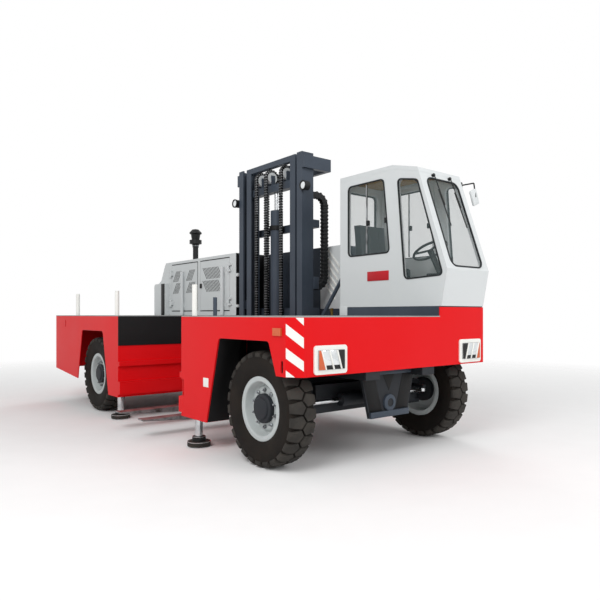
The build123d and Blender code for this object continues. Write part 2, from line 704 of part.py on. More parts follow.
# Knuckles: boss and kingpin in the yoke, a steering arm forward and a spindle into the wheel
arm_z = STEER_Z + EYE_THICK / 2 + MOVING_GAP
arm_tip = STEER_X + ARM_TIP_REACH
for name, side in (("left", 1), ("right", -1)):
    knuckle = rod_z(FRONT_AXLE, side * KINGPIN_Y,
                    (TYRE_RADIUS - YOKE_Z + CLEAR, TYRE_RADIUS + YOKE_Z - CLEAR), BOSS_RADIUS)
    knuckle += rod_z(FRONT_AXLE, side * KINGPIN_Y,
                     (TYRE_RADIUS - YOKE_Z - YOKE_THICK, TYRE_RADIUS + YOKE_Z + YOKE_THICK), KINGPIN_RADIUS)
    knuckle += rod_y(FRONT_AXLE, (side * KINGPIN_Y, side * SPINDLE_END), TYRE_RADIUS, SPINDLE_RADIUS)
    knuckle += plate_xy([(FRONT_AXLE, side * (KINGPIN_Y - ARM_ROOT_HALF)),
                         (arm_tip, side * (EYE_Y - ARM_TIP_HALF)), (arm_tip, side * (EYE_Y + ARM_TIP_HALF)),
                         (FRONT_AXLE, side * (KINGPIN_Y + ARM_ROOT_HALF))], (arm_z, arm_z + ARM_THICK))
    nodes[f"{name}_knuckle"] = knuckle


# Tyre: flat-sided ring of two lug rows, half a pitch apart
def around(radius, places):
    """Points around the wheel's axle as (x, z), each a number of lug pitches from the lowest one."""
    turns = [tau * place / LUG_COUNT for place in places]
    return [(radius * sin(turn), -radius * cos(turn)) for turn in turns]


def lug_row(shift, y):
    """Half of the tyre's width: an outline of lugs and grooves around the axle."""
    outline = []
    for lug in range(LUG_COUNT):
        start = lug + shift
        outline += around(TYRE_RADIUS, (start, start + LUG_SHARE))
        outline += around(TYRE_RADIUS - LUG_DEPTH, (start + LUG_SHARE + LUG_SLOPE, start + 1 - LUG_SLOPE))
    return plate_xz(outline, y)


def many_sided(radius):
    """Outline with a flat for each lug, that a circle of this radius fits in."""
    return around(radius / cos(pi / LUG_COUNT), range(LUG_COUNT))


def tyre_ring():
    """Tyre about the Y axis: lug rows, bead seat, flange recesses and sloping sidewall mouths."""
    half_tyre = TYRE_WIDTH / 2
    seat_half = RIM_WIDTH / 2 - RIM_WALL
    flange = BEAD_RADIUS + RIM_FLANGE + CLEAR
    ring = lug_row(0, (-half_tyre, 0)) + lug_row(0.5, (0, half_tyre))
    ring -= plate_xz(many_sided(BEAD_RADIUS + CLEAR), (-half_tyre, half_tyre))
    for side in (-1, 1):
        ring -= plate_xz(many_sided(flange), (side * seat_half, side * half_tyre))
        mouth = [Plane.XZ.offset(-side * place) * face_of(many_sided(radius))
                 for place, radius in ((RIM_WIDTH / 2, flange), (half_tyre, flange + SIDEWALL_SLOPE))]
        ring -= loft(mouth, ruled=True)
    return ring


def rim_ring():
    """Rim about the Y axis from a profile of (radius, distance outward from the wheel's middle)."""
    half_rim = RIM_WIDTH / 2
    barrel = BEAD_RADIUS - RIM_WALL
    flange = BEAD_RADIUS + RIM_FLANGE
    lip = RIM_WALL - BEAD_GAP
    disc = half_rim - DISC_SETBACK
    cap = disc + CAP_REACH
    bore = SPINDLE_RADIUS + RUNNING_GAP
    bore_end = SPINDLE_REACH + SPINDLE_GAP
    profile = [(barrel, -half_rim), (flange, -half_rim), (flange, lip - half_rim),
               (BEAD_RADIUS, lip - half_rim), (BEAD_RADIUS, half_rim - lip), (flange, half_rim - lip),
               (flange, half_rim), (barrel, half_rim), (barrel, disc - DISC_THICK),
               (HUB_RADIUS + DISC_FLAT, disc), (HUB_RADIUS, disc),
               (HUB_RADIUS, disc + CAP_STEP), (CAP_RADIUS, disc + CAP_STEP), (CAP_RADIUS, cap), (0, cap),
               (0, bore_end), (bore, bore_end), (bore, -HUB_BACK), (HUB_RADIUS, -HUB_BACK),
               (HUB_RADIUS, disc - DISC_THICK), (barrel, disc - 2 * DISC_THICK)]
    return revolve(face_of(profile), Axis.Y, 360)


tyre = tyre_ring()
rim = rim_ring()
for name, x, side in (("front_left", FRONT_AXLE, 1), ("front_right", FRONT_AXLE, -1),
                      ("rear_left", REAR_AXLE, 1), ("rear_right", REAR_AXLE, -1)):
    place = Pos(x, side * WHEEL_Y, TYRE_RADIUS) * Rot(0, 0, 0 if side > 0 else 180)
    nodes[f"{name}_tyre"] = place * tyre
    nodes[f"{name}_rim"] = place * rim

# Outer mast: two channels, tie beams behind, roller arms in the well and the lift cylinder's seat
CROSSHEAD_Z = MAST_TOP - CROSSHEAD_DROP
BARREL_TOP = CROSSHEAD_Z - LIFT_BARREL_DROP
upright_y = (MAST_FACE, MAST_FACE + MAST_DEPTH)
upright_z = (MAST_FOOT, MAST_TOP)
mast_x = (WELL_MID - MAST_HALF, WELL_MID + MAST_HALF)
top_arm_z = (MAST_TOP - TOP_ARM_DROP - TOP_ARM_HEIGHT, MAST_TOP - TOP_ARM_DROP)
tie_spans = ((MAST_FOOT, ARM_Z[1]), (DECK_TOP, DECK_TOP + TIE_HEIGHT),
             (BARREL_TOP - TIE_DROP, BARREL_TOP - TIE_DROP + TIE_HEIGHT))
roller_z = TRACK_BOTTOM + CLEAR + ROLLER_RADIUS
outer = block(mast_x, (ARM_END - BACK_TIE, ARM_END), ARM_Z)
outer += block(mast_x, (MAST_REAR - BACK_TIE, MAST_REAR), top_arm_z)
outer += block((WELL_MID - SEAT_PLATE_HALF, WELL_MID + SEAT_PLATE_HALF), (INNER_Y, TIE_Y[1]),
               (MAST_FOOT, MAST_FOOT + SEAT_PLATE_THICK))
for span in tie_spans:
    outer += block(mast_x, TIE_Y, span)
for side in (-1, 1):
    edge = WELL_MID + side * MAST_HALF
    flange_x = (edge, edge - side * UPRIGHT_FLANGE)
    tip = edge + side * (ARM_WIDTH + ROLLER_REACH)
    outer += block((edge, edge - side * UPRIGHT_WEB), upright_y, upright_z)
    for y in (upright_y[0], upright_y[1] - UPRIGHT_WEB):
        outer += block(flange_x, (y, y + UPRIGHT_WEB), upright_z)
    for span in tie_spans:
        outer += block(flange_x, (upright_y[1], TIE_Y[0]), span)
    outer += block((edge - side * TOP_ARM_IN, edge + side * TOP_ARM_OUT), (upright_y[0], MAST_REAR),
                   top_arm_z)
    outer += block((edge, edge + side * ARM_WIDTH), (MAST_FACE, ARM_END), ARM_Z)
    for y in ROLLER_Y:
        outer += rod_x((edge, tip), y, roller_z, ROLLER_PIN)
        outer += rod_x((tip, tip - side * ROLLER_THICK), y, roller_z, ROLLER_RADIUS)
nodes["outer_mast"] = outer

# Lift cylinder in the middle of the mast: barrel on the outer mast, rod under the crosshead
cylinder_y = INNER_Y + CYLINDER_SETBACK
barrel_foot = MAST_FOOT + SEAT_PLATE_THICK
bore_foot = barrel_foot + LIFT_BARREL_FLOOR
nodes["lift_barrel"] = (rod_z(WELL_MID, cylinder_y, (barrel_foot, BARREL_TOP), LIFT_BARREL_RADIUS)
                        - rod_z(WELL_MID, cylinder_y, (bore_foot, BARREL_TOP), LIFT_ROD_RADIUS + CLEAR))
nodes["lift_rod"] = rod_z(WELL_MID, cylinder_y, (bore_foot + LIFT_ROD_FOOT_GAP, CROSSHEAD_Z), LIFT_ROD_RADIUS)

# Work lamps on the outer sides of the uprights
lamps = []
lamp_z = MAST_TOP - WORK_LAMP_DROP
bracket_z = (lamp_z - WORK_LAMP_BRACKET_HALF, lamp_z + WORK_LAMP_BRACKET_HALF)
for side in (-1, 1):
    edge = WELL_MID + side * MAST_HALF
    lamp_x = edge + side * (WORK_LAMP_RADIUS + WORK_LAMP_GAP)
    lamps.append(rod_y(lamp_x, WORK_LAMP_Y, lamp_z, WORK_LAMP_RADIUS)
                 + block((edge, lamp_x), WORK_LAMP_BRACKET_Y, bracket_z))
nodes["work_lamps"] = Part() + lamps

# Hose carrier: a band that arches behind the front upright
carrier_x = (mast_x[1] - CARRIER_WIDTH, mast_x[1])
carrier_y = (MAST_FACE, upright_y[1] + CARRIER_REACH)
carrier_z = tuple(MAST_TOP - drop for drop in CARRIER_DROPS)
carrier_hole = [(low + CARRIER_THICK, high - CARRIER_THICK) for low, high in (carrier_y, carrier_z)]
carrier = plate_yz(rectangle(carrier_y, carrier_z), carrier_x, CARRIER_CORNER)
carrier -= plate_yz(rectangle(*carrier_hole), carrier_x, CARRIER_CORNER - CARRIER_THICK)
nodes["hose_carrier"] = carrier - block(carrier_x, upright_y, carrier_z)

# Inner mast: channels beside the outer ones on rollers, crosshead, top and foot ties, chain wheel ears
inner_y = (INNER_Y - INNER_DEPTH / 2, INNER_Y + INNER_DEPTH / 2)
inner_edge = MAST_HALF - UPRIGHT_FLANGE - INNER_GAP
inner_x = (WELL_MID - inner_edge, WELL_MID + inner_edge)
inner_z = (INNER_FOOT, MAST_TOP)
crosshead_top = CROSSHEAD_Z + CROSSHEAD_HEIGHT
chain_wheel_z = MAST_TOP - CHAIN_WHEEL_DROP
chain_spread = inner_edge - INNER_FLANGE - CHAIN_SIDE_GAP
outer_channel = MAST_DEPTH - 2 * UPRIGHT_WEB
inner_channel = INNER_DEPTH - 2 * INNER_WEB
inner = block(inner_x, FOOT_TIE_Y, (INNER_FOOT, INNER_FOOT + FOOT_TIE_HEIGHT))
inner += block(inner_x, (INNER_Y - CROSSHEAD_FRONT, inner_y[1]), (CROSSHEAD_Z, crosshead_top))
inner += block(inner_x, (inner_y[0], INNER_Y), (MAST_TOP - TOP_TIE_HEIGHT, MAST_TOP))
for side in (-1, 1):
    edge = WELL_MID + side * inner_edge
    inner += block((edge, edge - side * INNER_WEB), inner_y, inner_z)
    for y in (inner_y[0], inner_y[1] - INNER_WEB):
        inner += block((edge, edge - side * INNER_FLANGE), (y, y + INNER_WEB), inner_z)
    tip = edge + side * (INNER_GAP + UPRIGHT_FLANGE - UPRIGHT_WEB - MOVING_GAP)
    for rise in INNER_ROLLER_RISE:
        inner += rod_x((edge, tip), INNER_Y, INNER_FOOT + rise, INNER_ROLLER_PIN)
        inner += rod_x((tip, tip - side * INNER_ROLLER_WIDTH), INNER_Y, INNER_FOOT + rise,
                       outer_channel / 2 - CLEAR)
ear_x = CHAIN_WIDTH / 2 + EAR_GAP
for share in CHAIN_SHARES:
    wheel_x = WELL_MID + share * chain_spread
    for ear in (-1, 1):
        inner += block((wheel_x + ear * ear_x, wheel_x + ear * (ear_x + EAR_THICK)),
                       (INNER_Y - EAR_HALF, INNER_Y + EAR_HALF), (crosshead_top, chain_wheel_z + EAR_HALF))
    inner += rod_x((wheel_x - ear_x, wheel_x + ear_x), INNER_Y, chain_wheel_z, CHAIN_WHEEL_PIN)
nodes["inner_mast"] = inner


# Chain wheels on the crosshead, and the chains bent over them by flats
def chain_outline(rear_end):
    """Chain over its wheel as (y, z): round the wheel from the rear run, down the front run, and back."""
    inside = (CHAIN_WHEEL_RADIUS + CLEAR) / cos(pi / 2 / CHAIN_FLATS)
    outside = inside + CHAIN_THICK
    turns = [pi * flat / CHAIN_FLATS for flat in range(CHAIN_FLATS + 1)]
    over = [(INNER_Y + outside * cos(turn), chain_wheel_z + outside * sin(turn)) for turn in turns]
    under = [(INNER_Y + inside * cos(turn), chain_wheel_z + inside * sin(turn)) for turn in turns]
    front_run = [(over[-1][0], CHAIN_FRONT_END), (under[-1][0], CHAIN_FRONT_END)]
    rear_run = [(under[0][0], rear_end), (over[0][0], rear_end)]
    return over + front_run + under[::-1] + rear_run


wheels = []
chains = []
for share in CHAIN_SHARES:
    wheel_x = WELL_MID + share * chain_spread
    span = (wheel_x - CHAIN_WIDTH / 2, wheel_x + CHAIN_WIDTH / 2)
    rear_end = CHAIN_REAR_END if abs(share) == 1 else BARREL_TOP + CHAIN_MIDDLE_GAP
    wheels.append(rod_x(span, INNER_Y, chain_wheel_z, CHAIN_WHEEL_RADIUS)
                  - rod_x(span, INNER_Y, chain_wheel_z, CHAIN_WHEEL_PIN + CLEAR))
    chains.append(plate_yz(chain_outline(rear_end), span))
nodes["chain_wheels"] = Part() + wheels
nodes["lift_chains"] = Part() + chains

# Fork carriage: two bars on side plates whose rollers run in the inner mast
bar_y = (CARRIAGE_FACE, CARRIAGE_FACE + BAR_THICK)
plate_edge = inner_edge - INNER_FLANGE - CARRIAGE_SIDE_GAP
carriage = Part()
for z in (CARRIAGE_FOOT, CARRIAGE_TOP - BAR_HEIGHT):
    carriage += block((WELL_MID - plate_edge, WELL_MID + plate_edge), bar_y, (z, z + BAR_HEIGHT))
for side in (-1, 1):
    edge = WELL_MID + side * plate_edge
    tip = WELL_MID + side * (inner_edge - INNER_WEB - MOVING_GAP)
    carriage += block((edge, edge - side * CARRIAGE_PLATE), (bar_y[1], INNER_Y + CARRIAGE_PLATE_REACH),
                      (CARRIAGE_FOOT, CARRIAGE_TOP))
    for z in (CARRIAGE_FOOT + CARRIAGE_ROLLER_SETBACK, CARRIAGE_TOP - CARRIAGE_ROLLER_SETBACK):
        carriage += rod_x((edge - side * CARRIAGE_PLATE, tip), INNER_Y, z, inner_channel / 2 - CLEAR)
nodes["fork_carriage"] = carriage

# Forks: upright shank on the bars and a tapered blade towards the load side
fork_front = CARRIAGE_FACE - FORK_THICK
fork_bottom = FORK_TOP - FORK_THICK
FORK = [(CARRIAGE_FACE, CARRIAGE_TOP), (fork_front, CARRIAGE_TOP), (fork_front, FORK_TOP),
        (FORK_TIP_Y, FORK_TOP), (FORK_TIP_Y, FORK_TOP - FORK_TIP_THICK),
        (FORK_TIP_Y + FORK_TAPER, fork_bottom), (CARRIAGE_FACE, fork_bottom)]
forks = []
for side in (-1, 1):
    outside = WELL_MID + side * (plate_edge - FORK_INSET)
    forks.append(plate_yz(FORK, (outside, outside - side * FORK_WIDTH)))
nodes["forks"] = Part() + forks


# Hinges: shells on a leaf for the door, a pin and two shells on leaves for the wall
def hinge(x, y, wall_y, away, door_leaf, z):
    """What the door carries, what the wall carries and the bore in the door's shell."""
    shell = (z, z + HINGE_LENGTH)
    pin = (z - HINGE_LENGTH / 2, z + HINGE_LENGTH + HINGE_LENGTH / 2)
    leaf_y = (y + (HINGE_LEAF_OVER if wall_y < y else -HINGE_LEAF_OVER), wall_y)
    on_door = rod_z(x, y, shell, HINGE_SHELL) + block((x, x - away * door_leaf), leaf_y, shell)
    on_wall = rod_z(x, y, pin, HINGE_RADIUS)
    for end in ((pin[0], shell[0] - CLEAR), (shell[1] + CLEAR, pin[1])):
        on_wall += rod_z(x, y, end, HINGE_SHELL) + block((x, x + away * HINGE_LEAF), leaf_y, end)
    return on_door, on_wall, rod_z(x, y, shell, HINGE_RADIUS + RUNNING_GAP)


# Hood: hollow cover over the engine, two door openings in its load face
HOOD_FRONT = WELL_REAR - HOOD_FRONT_GAP
hood_y = (HOOD_FACE, HALF_WIDTH - PANEL)
hood_face_y = (HOOD_FACE, HOOD_FACE + HOOD_WALL)
hood_outline = [(HOOD_FRONT, DECK_TOP), (HOOD_FRONT, HOOD_TOP)]
hood_outline += [(BODY_REAR + x, z) for x, z in reversed(HOOD_SLOPE)]
hood_outline += [(BODY_REAR, DECK_TOP)]
hood_inside = [(HOOD_FRONT - HOOD_WALL, DECK_TOP), (HOOD_FRONT - HOOD_WALL, HOOD_TOP - HOOD_WALL),
               (BODY_REAR + HOOD_SLOPE[-1][0] + HOOD_SLOPE_WALL, HOOD_TOP - HOOD_WALL),
               (BODY_REAR + HOOD_WALL, HOOD_SLOPE[0][1] - HOOD_SLOPE_WALL), (BODY_REAR + HOOD_WALL, DECK_TOP)]
hood = plate_xz(hood_outline, hood_y) - plate_xz(hood_inside, (hood_y[0] + HOOD_WALL, hood_y[1] - HOOD_WALL))

# Doors as (name, span, side of the hinge, rib's share of the width, lean of the slits, their spans by share)
rear_door_x = (BODY_REAR + REAR_DOOR_SETBACK, BODY_REAR + REAR_DOOR_SETBACK + REAR_DOOR_WIDTH)
front_door_x = (rear_door_x[1] + DOOR_PILLAR, HOOD_FRONT - FRONT_DOOR_SETBACK)
HOOD_DOORS = (
    ("rear", rear_door_x, -1, 0.48, 1, ((0.03, 0.40), (0.56, 0.93))),
    ("front", front_door_x, 1, 0.82, -1, ((0.08, 0.77),)),
)
rib_y = HOOD_FACE - RIB_RADIUS - MOVING_GAP
for name, (low, high), away, rib_share, lean, slit_spans in HOOD_DOORS:
    width = high - low
    rib_x = low + rib_share * width
    hinge_x = low - HOOD_DOOR_GAP / 2 if away < 0 else high + HOOD_DOOR_GAP / 2
    hood -= block((low - HOOD_DOOR_GAP, high + HOOD_DOOR_GAP), hood_face_y,
                  (HOOD_DOOR_FOOT - HOOD_DOOR_GAP, HOOD_DOOR_TOP + HOOD_DOOR_GAP))
    door = block((low, high), hood_face_y, (HOOD_DOOR_FOOT, HOOD_DOOR_TOP))
    for start, end in slit_spans:
        door -= leaning_slits((low + start * width, low + end * width), SLIT_ROWS, lean, hood_face_y)
    door += rod_z(rib_x, rib_y, (DECK_TOP + RIB_FOOT_GAP, RIB_TOP), RIB_RADIUS)
    for span in RIB_BRACKET_Z:
        door += block((rib_x - RIB_BRACKET_HALF, rib_x + RIB_BRACKET_HALF), (rib_y, HOOD_FACE), span)
    for z in HOOD_HINGE_Z:
        on_door, on_wall, bore = hinge(hinge_x, HOOD_FACE - HINGE_OUT, HOOD_FACE, away, HINGE_LEAF, z)
        door = door + on_door - bore
        hood += on_wall
    nodes[f"hood_{name}_door"] = door
nodes["hood_shell"] = hood

# Engine block inside the hood, on the deck
nodes["engine_block"] = block((BODY_REAR + ENGINE_END_GAP, HOOD_FRONT - ENGINE_END_GAP),
                              (HOOD_FACE + ENGINE_SIDE_GAP, HALF_WIDTH - ENGINE_SIDE_GAP),
                              (DECK_TOP, HOOD_TOP - ENGINE_TOP_GAP))

# Air intake on the hood: pipe, bowl and cap turned from one profile
intake_face = Plane.XZ * face_of([(0, 0), *INTAKE])
nodes["air_intake"] = Pos(BODY_REAR + INTAKE_SETBACK, INTAKE_Y, HOOD_TOP) * revolve(intake_face, Axis.Z, 360)

# Slim box on the deck at the hood's rear end, its upper rear edge rounded
box_x = (BODY_REAR + BOX_SETBACK, BODY_REAR + BOX_SETBACK + BOX_LENGTH)
side_box = block(box_x, (HOOD_FACE - BOX_THICK, HOOD_FACE), (DECK_TOP, DECK_TOP + BOX_HEIGHT))
rear_edges = side_box.edges().filter_by(Axis.Y).sort_by(Axis.X)[:2]
nodes["side_box"] = fillet(rear_edges.sort_by(Axis.Z)[-1], BOX_CORNER)

# Far housing on the bridge beam, behind the mast's travel, and a louvred panel between it and the cab
housing_y = (BRIDGE_INSIDE, HALF_WIDTH - PANEL)
nodes["far_housing"] = (block((HOOD_FRONT, WELL_FRONT), housing_y, (DECK_TOP, HOUSING_TOP))
                        + block((WELL_REAR, WELL_FRONT), housing_y, (BRIDGE_Z[1], DECK_TOP)))
grille_x = (WELL_FRONT + GRILLE_END_GAP, CAB_REAR - GRILLE_END_GAP)
grille_y = (HALF_WIDTH - PANEL - GRILLE_THICK, HALF_WIDTH - PANEL)
grille_face = face_of(rectangle(grille_x, (DECK_TOP, HOUSING_TOP)))
grille = slab_xz(fillet(grille_face.vertices().sort_by(Axis.Y)[-2:], GRILLE_CORNER), grille_y)
slit_x = (grille_x[0] + GRILLE_EDGE, grille_x[1] - GRILLE_EDGE)
nodes["far_grille"] = grille - leaning_slits(slit_x, GRILLE_ROWS, -1, grille_y)

# Cab: side outline from the base up, and the roof over it
CAB_BREAK = BODY_FRONT - CAB_BREAK_BACK
CAB_BROW = (BODY_FRONT - CAB_BROW_BACK, CAB_BROW_Z)
CAB_PROW = (BODY_FRONT + CAB_PROW_REACH, CAB_PROW_Z)
CAB_TOE = (BODY_FRONT, CAB_BASE_TOP)
ROOF_LOW = CAB_ROOF_Z - CAB_ROOF_THICK
BROW_LOW = CAB_BROW_Z - CAB_ROOF_THICK
screen_lean = (CAB_PROW[0] - CAB_BROW[0]) / (CAB_BROW_Z - CAB_PROW_Z)
brow_low_x = CAB_BROW[0] + screen_lean * CAB_ROOF_THICK
SIDE = [(CAB_REAR, CAB_BASE_TOP), CAB_TOE, CAB_PROW, (brow_low_x, BROW_LOW), (CAB_BREAK, ROOF_LOW),
        (CAB_REAR, ROOF_LOW)]
ROOF = [(CAB_REAR, ROOF_LOW), (CAB_BREAK, ROOF_LOW), (brow_low_x, BROW_LOW), CAB_BROW,
        (CAB_BREAK, CAB_ROOF_Z), (CAB_REAR, CAB_ROOF_Z)]
load_wall_y = (CAB_FACE, CAB_FACE + CAB_WALL)
far_wall_y = (HALF_WIDTH - CAB_WALL, HALF_WIDTH)
inside_y = (load_wall_y[1], far_wall_y[0])


def pane(points, y):
    """Glass pane in the middle of a side wall, a seal's gap smaller than its opening."""
    middle = sum(y) / 2
    face = offset(face_of(points, WINDOW_CORNER), -SEAL_GAP)
    return slab_xz(face, (middle - GLASS / 2, middle + GLASS / 2))


load_wall = plate_xz(SIDE, load_wall_y)
panes = []
for window in (behind_front(LOAD_REAR_WINDOW), behind_front(LOAD_FRONT_WINDOW)):
    load_wall -= plate_xz(window, load_wall_y, WINDOW_CORNER)
    panes.append(pane(window, load_wall_y))
nodes["cab_load_wall"] = load_wall

# Far wall with the driver's door, hung at its front edge
door_foot = CAB_BASE_TOP + DOOR_FOOT_RISE
door_outline = behind_front([(DOOR_REAR_BACK, door_foot), (DOOR_FOOT_BACK, door_foot),
                             (DOOR_HEAD_BACK, DOOR_HEAD_Z), (DOOR_REAR_BACK, DOOR_HEAD_Z)])
door_hole = slab_xz(offset(face_of(door_outline), DOOR_GAP, kind=Kind.INTERSECTION), far_wall_y)
far_window = behind_front(FAR_FRONT_WINDOW)
door_window = behind_front(DOOR_WINDOW)
far_wall = plate_xz(SIDE, far_wall_y) - door_hole - plate_xz(far_window, far_wall_y, WINDOW_CORNER)
panes.append(pane(far_window, far_wall_y))
cab_door = plate_xz(door_outline, far_wall_y) - plate_xz(door_window, far_wall_y, WINDOW_CORNER)
for rise in DOOR_HINGE_RISE:
    on_door, on_wall, bore = hinge(BODY_FRONT - DOOR_HINGE_BACK, HALF_WIDTH + HINGE_OUT, HALF_WIDTH, 1,
                                   DOOR_LEAF, CAB_BASE_TOP + rise)
    cab_door = cab_door + on_door - bore
    far_wall += on_wall
nodes["cab_far_wall"] = far_wall
nodes["cab_door"] = cab_door
nodes["cab_door_glass"] = pane(door_window, far_wall_y)

# Rear wall with its window, front with the windscreen opening, roof and base
back_window = rectangle((inside_y[0] + BACK_WINDOW_SIDE, inside_y[1] - BACK_WINDOW_SIDE),
                        (WINDOW_FOOT, BACK_WINDOW_TOP))
rear_x = (CAB_REAR, CAB_REAR + CAB_WALL)
back_middle = sum(rear_x) / 2
nodes["cab_rear_wall"] = (block(rear_x, inside_y, (CAB_BASE_TOP, ROOF_LOW))
                          - plate_yz(back_window, rear_x, WINDOW_CORNER))
panes.append(slab_yz(offset(face_of(back_window, WINDOW_CORNER), -SEAL_GAP),
                     (back_middle - GLASS / 2, back_middle + GLASS / 2)))


def screen_slab(z, front_depth, back_depth):
    """Slanted (x, z) outline along the windscreen, between two heights and two depths behind its slope."""
    low, high = z
    low_x = CAB_PROW[0] - screen_lean * (low - CAB_PROW_Z)
    high_x = CAB_PROW[0] - screen_lean * (high - CAB_PROW_Z)
    return [(low_x - front_depth, low), (high_x - front_depth, high), (high_x - back_depth, high),
            (low_x - back_depth, low)]


NOSE = [CAB_TOE, CAB_PROW, (brow_low_x, BROW_LOW), (brow_low_x - CAB_WALL, BROW_LOW),
        (CAB_PROW[0] - CAB_WALL, CAB_PROW_Z), (CAB_TOE[0] - CAB_WALL, CAB_BASE_TOP)]
screen_y = (inside_y[0] + SCREEN_SIDE, inside_y[1] - SCREEN_SIDE)
screen_z = (SCREEN_Z[0] + SEAL_GAP, SCREEN_Z[1] - SEAL_GAP)
screen_hole = plate_xz(screen_slab(SCREEN_Z, -CAB_WALL, 2 * CAB_WALL), screen_y)
nodes["cab_front"] = plate_xz(NOSE, inside_y) - screen_hole
panes.append(plate_xz(screen_slab(screen_z, GLASS_DEPTH, GLASS_DEPTH + GLASS),
                      (screen_y[0] + SEAL_GAP, screen_y[1] - SEAL_GAP)))
nodes["cab_glass"] = Part() + panes
nodes["cab_roof"] = plate_xz(ROOF, (CAB_FACE, HALF_WIDTH))
nodes["cab_base"] = block((CAB_REAR, BODY_FRONT - PANEL), (CAB_FACE, HALF_WIDTH), (DECK_TOP, CAB_BASE_TOP))

# Inside the cab: console with the column and wheel, seat base and seat
CAB_MIDDLE = sum(inside_y) / 2
(wheel_x, wheel_z), (column_x, column_z) = behind_front((WHEEL_PLACE, COLUMN_FOOT))
wheel_place = Pos(wheel_x, CAB_MIDDLE, wheel_z) * Rot(0, WHEEL_TILT, 0)
console = plate_xz(behind_front(CONSOLE), (inside_y[0] + CONSOLE_SIDE_GAP, inside_y[1] - CONSOLE_SIDE_GAP))
console += bar_between((column_x, CAB_MIDDLE, column_z), (wheel_x, CAB_MIDDLE, wheel_z), COLUMN_RADIUS)
console += wheel_place * Torus(WHEEL_RADIUS, WHEEL_RIM)
spoke = Pos(WHEEL_RADIUS / 2, 0, 0) * Box(WHEEL_RADIUS, SPOKE_WIDTH, SPOKE_THICK)
for turn in SPOKE_TURNS:
    console += wheel_place * Rot(0, 0, turn) * spoke
nodes["console"] = console

seat_x = (CAB_REAR + SEAT_SETBACK, CAB_REAR + SEAT_SETBACK + SEAT_LENGTH)
seat_y = (CAB_MIDDLE - SEAT_HALF, CAB_MIDDLE + SEAT_HALF)
backrest_top = SEAT_Z + BACKREST_HEIGHT
nodes["seat_base"] = block((seat_x[0] + SEAT_BASE_SIDE, seat_x[1] - SEAT_BASE_SIDE),
                           (seat_y[0] + SEAT_BASE_SIDE, seat_y[1] - SEAT_BASE_SIDE),
                           (CAB_BASE_TOP, SEAT_Z - CLEAR))
nodes["seat"] = (block(seat_x, seat_y, (SEAT_Z, SEAT_Z + CUSHION))
                 + plate_xz([(seat_x[0], SEAT_Z), (seat_x[0] + CUSHION, SEAT_Z),
                             (seat_x[0] + BACKREST_HEAD[1], backrest_top),
                             (seat_x[0] + BACKREST_HEAD[0], backrest_top)], seat_y))

# Lamps: white plates with lenses in front, an amber side lamp, red lamps behind
plates = []
lenses = []
plate_x = (BODY_FRONT, BODY_FRONT + LAMP_PLATE)
lens_x = (plate_x[1], plate_x[1] + LENS)
lens_z = (LAMP_Z[0] + LENS_EDGE, LAMP_Z[1] - LENS_EDGE)
for low in (LOAD_LAMP_Y, FAR_LAMP_Y):
    high = low + LAMP_WIDTH
    plates.append(plate_yz(rectangle((low, high), LAMP_Z), plate_x, LAMP_CORNER))
    lenses.append(plate_yz(rectangle((low + LENS_EDGE, high - LENS_EDGE), lens_z), lens_x))
nodes["headlamp_plates"] = Part() + plates
nodes["headlamp_lenses"] = Part() + lenses
marker_x = (CORNER_X - MARKER_SETBACK, CORNER_X - MARKER_SETBACK + MARKER_LENGTH)
nodes["amber_lamps"] = block(marker_x, (-HALF_WIDTH - MARKER_THICK, -HALF_WIDTH), MARKER_Z)
tail_x = (BODY_REAR - TAIL_LAMP_THICK, BODY_REAR)
tail_y = [[side * y for y in TAIL_LAMP_Y] for side in (-1, 1)]
nodes["tail_lamps"] = Part() + [block(tail_x, y, TAIL_LAMP_Z) for y in tail_y]

# Mirror on a bent arm at the cab's far front corner
mirror_x = BODY_FRONT - MIRROR_BACK
mirror_mid = sum(MIRROR_Y) / 2
foot_x = BODY_FRONT - MIRROR_ARM_BACK
arm_start = (foot_x, HALF_WIDTH + MIRROR_FOOT_THICK / 2, MIRROR_ARM_Z)
arm_turn = (mirror_x, mirror_mid, MIRROR_ARM_Z)
arm_end = (mirror_x, mirror_mid, MIRROR_Z[0] + MIRROR_ARM_SINK)
mirror = block((foot_x - MIRROR_FOOT_HALF, foot_x + MIRROR_FOOT_HALF),
               (HALF_WIDTH, HALF_WIDTH + MIRROR_FOOT_THICK),
               (MIRROR_ARM_Z - MIRROR_FOOT_RISE, MIRROR_ARM_Z + MIRROR_FOOT_RISE))
mirror += bar_between(arm_start, arm_turn, MIRROR_ARM_RADIUS) + Pos(*arm_turn) * Sphere(MIRROR_ARM_RADIUS)
mirror += bar_between(arm_turn, arm_end, MIRROR_ARM_RADIUS)
nodes["mirror"] = mirror + block([mirror_x + reach for reach in MIRROR_REACH], MIRROR_Y, MIRROR_Z)

os.makedirs("parts", exist_ok=True)
for name, shape in nodes.items():
    export_step(shape, f"parts/{name}.step")
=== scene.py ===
# %% [markdown]
# # Side loader forklift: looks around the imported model
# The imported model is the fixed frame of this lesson. It already has the truck's main forms, so most
# of its nodes stay and only get a finish. New pieces are modelled where the real truck shows more
# than plain solids: tyres, wheels, chains, seals, lamps, trim and the seat.

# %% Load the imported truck
from math import pi, radians, tau

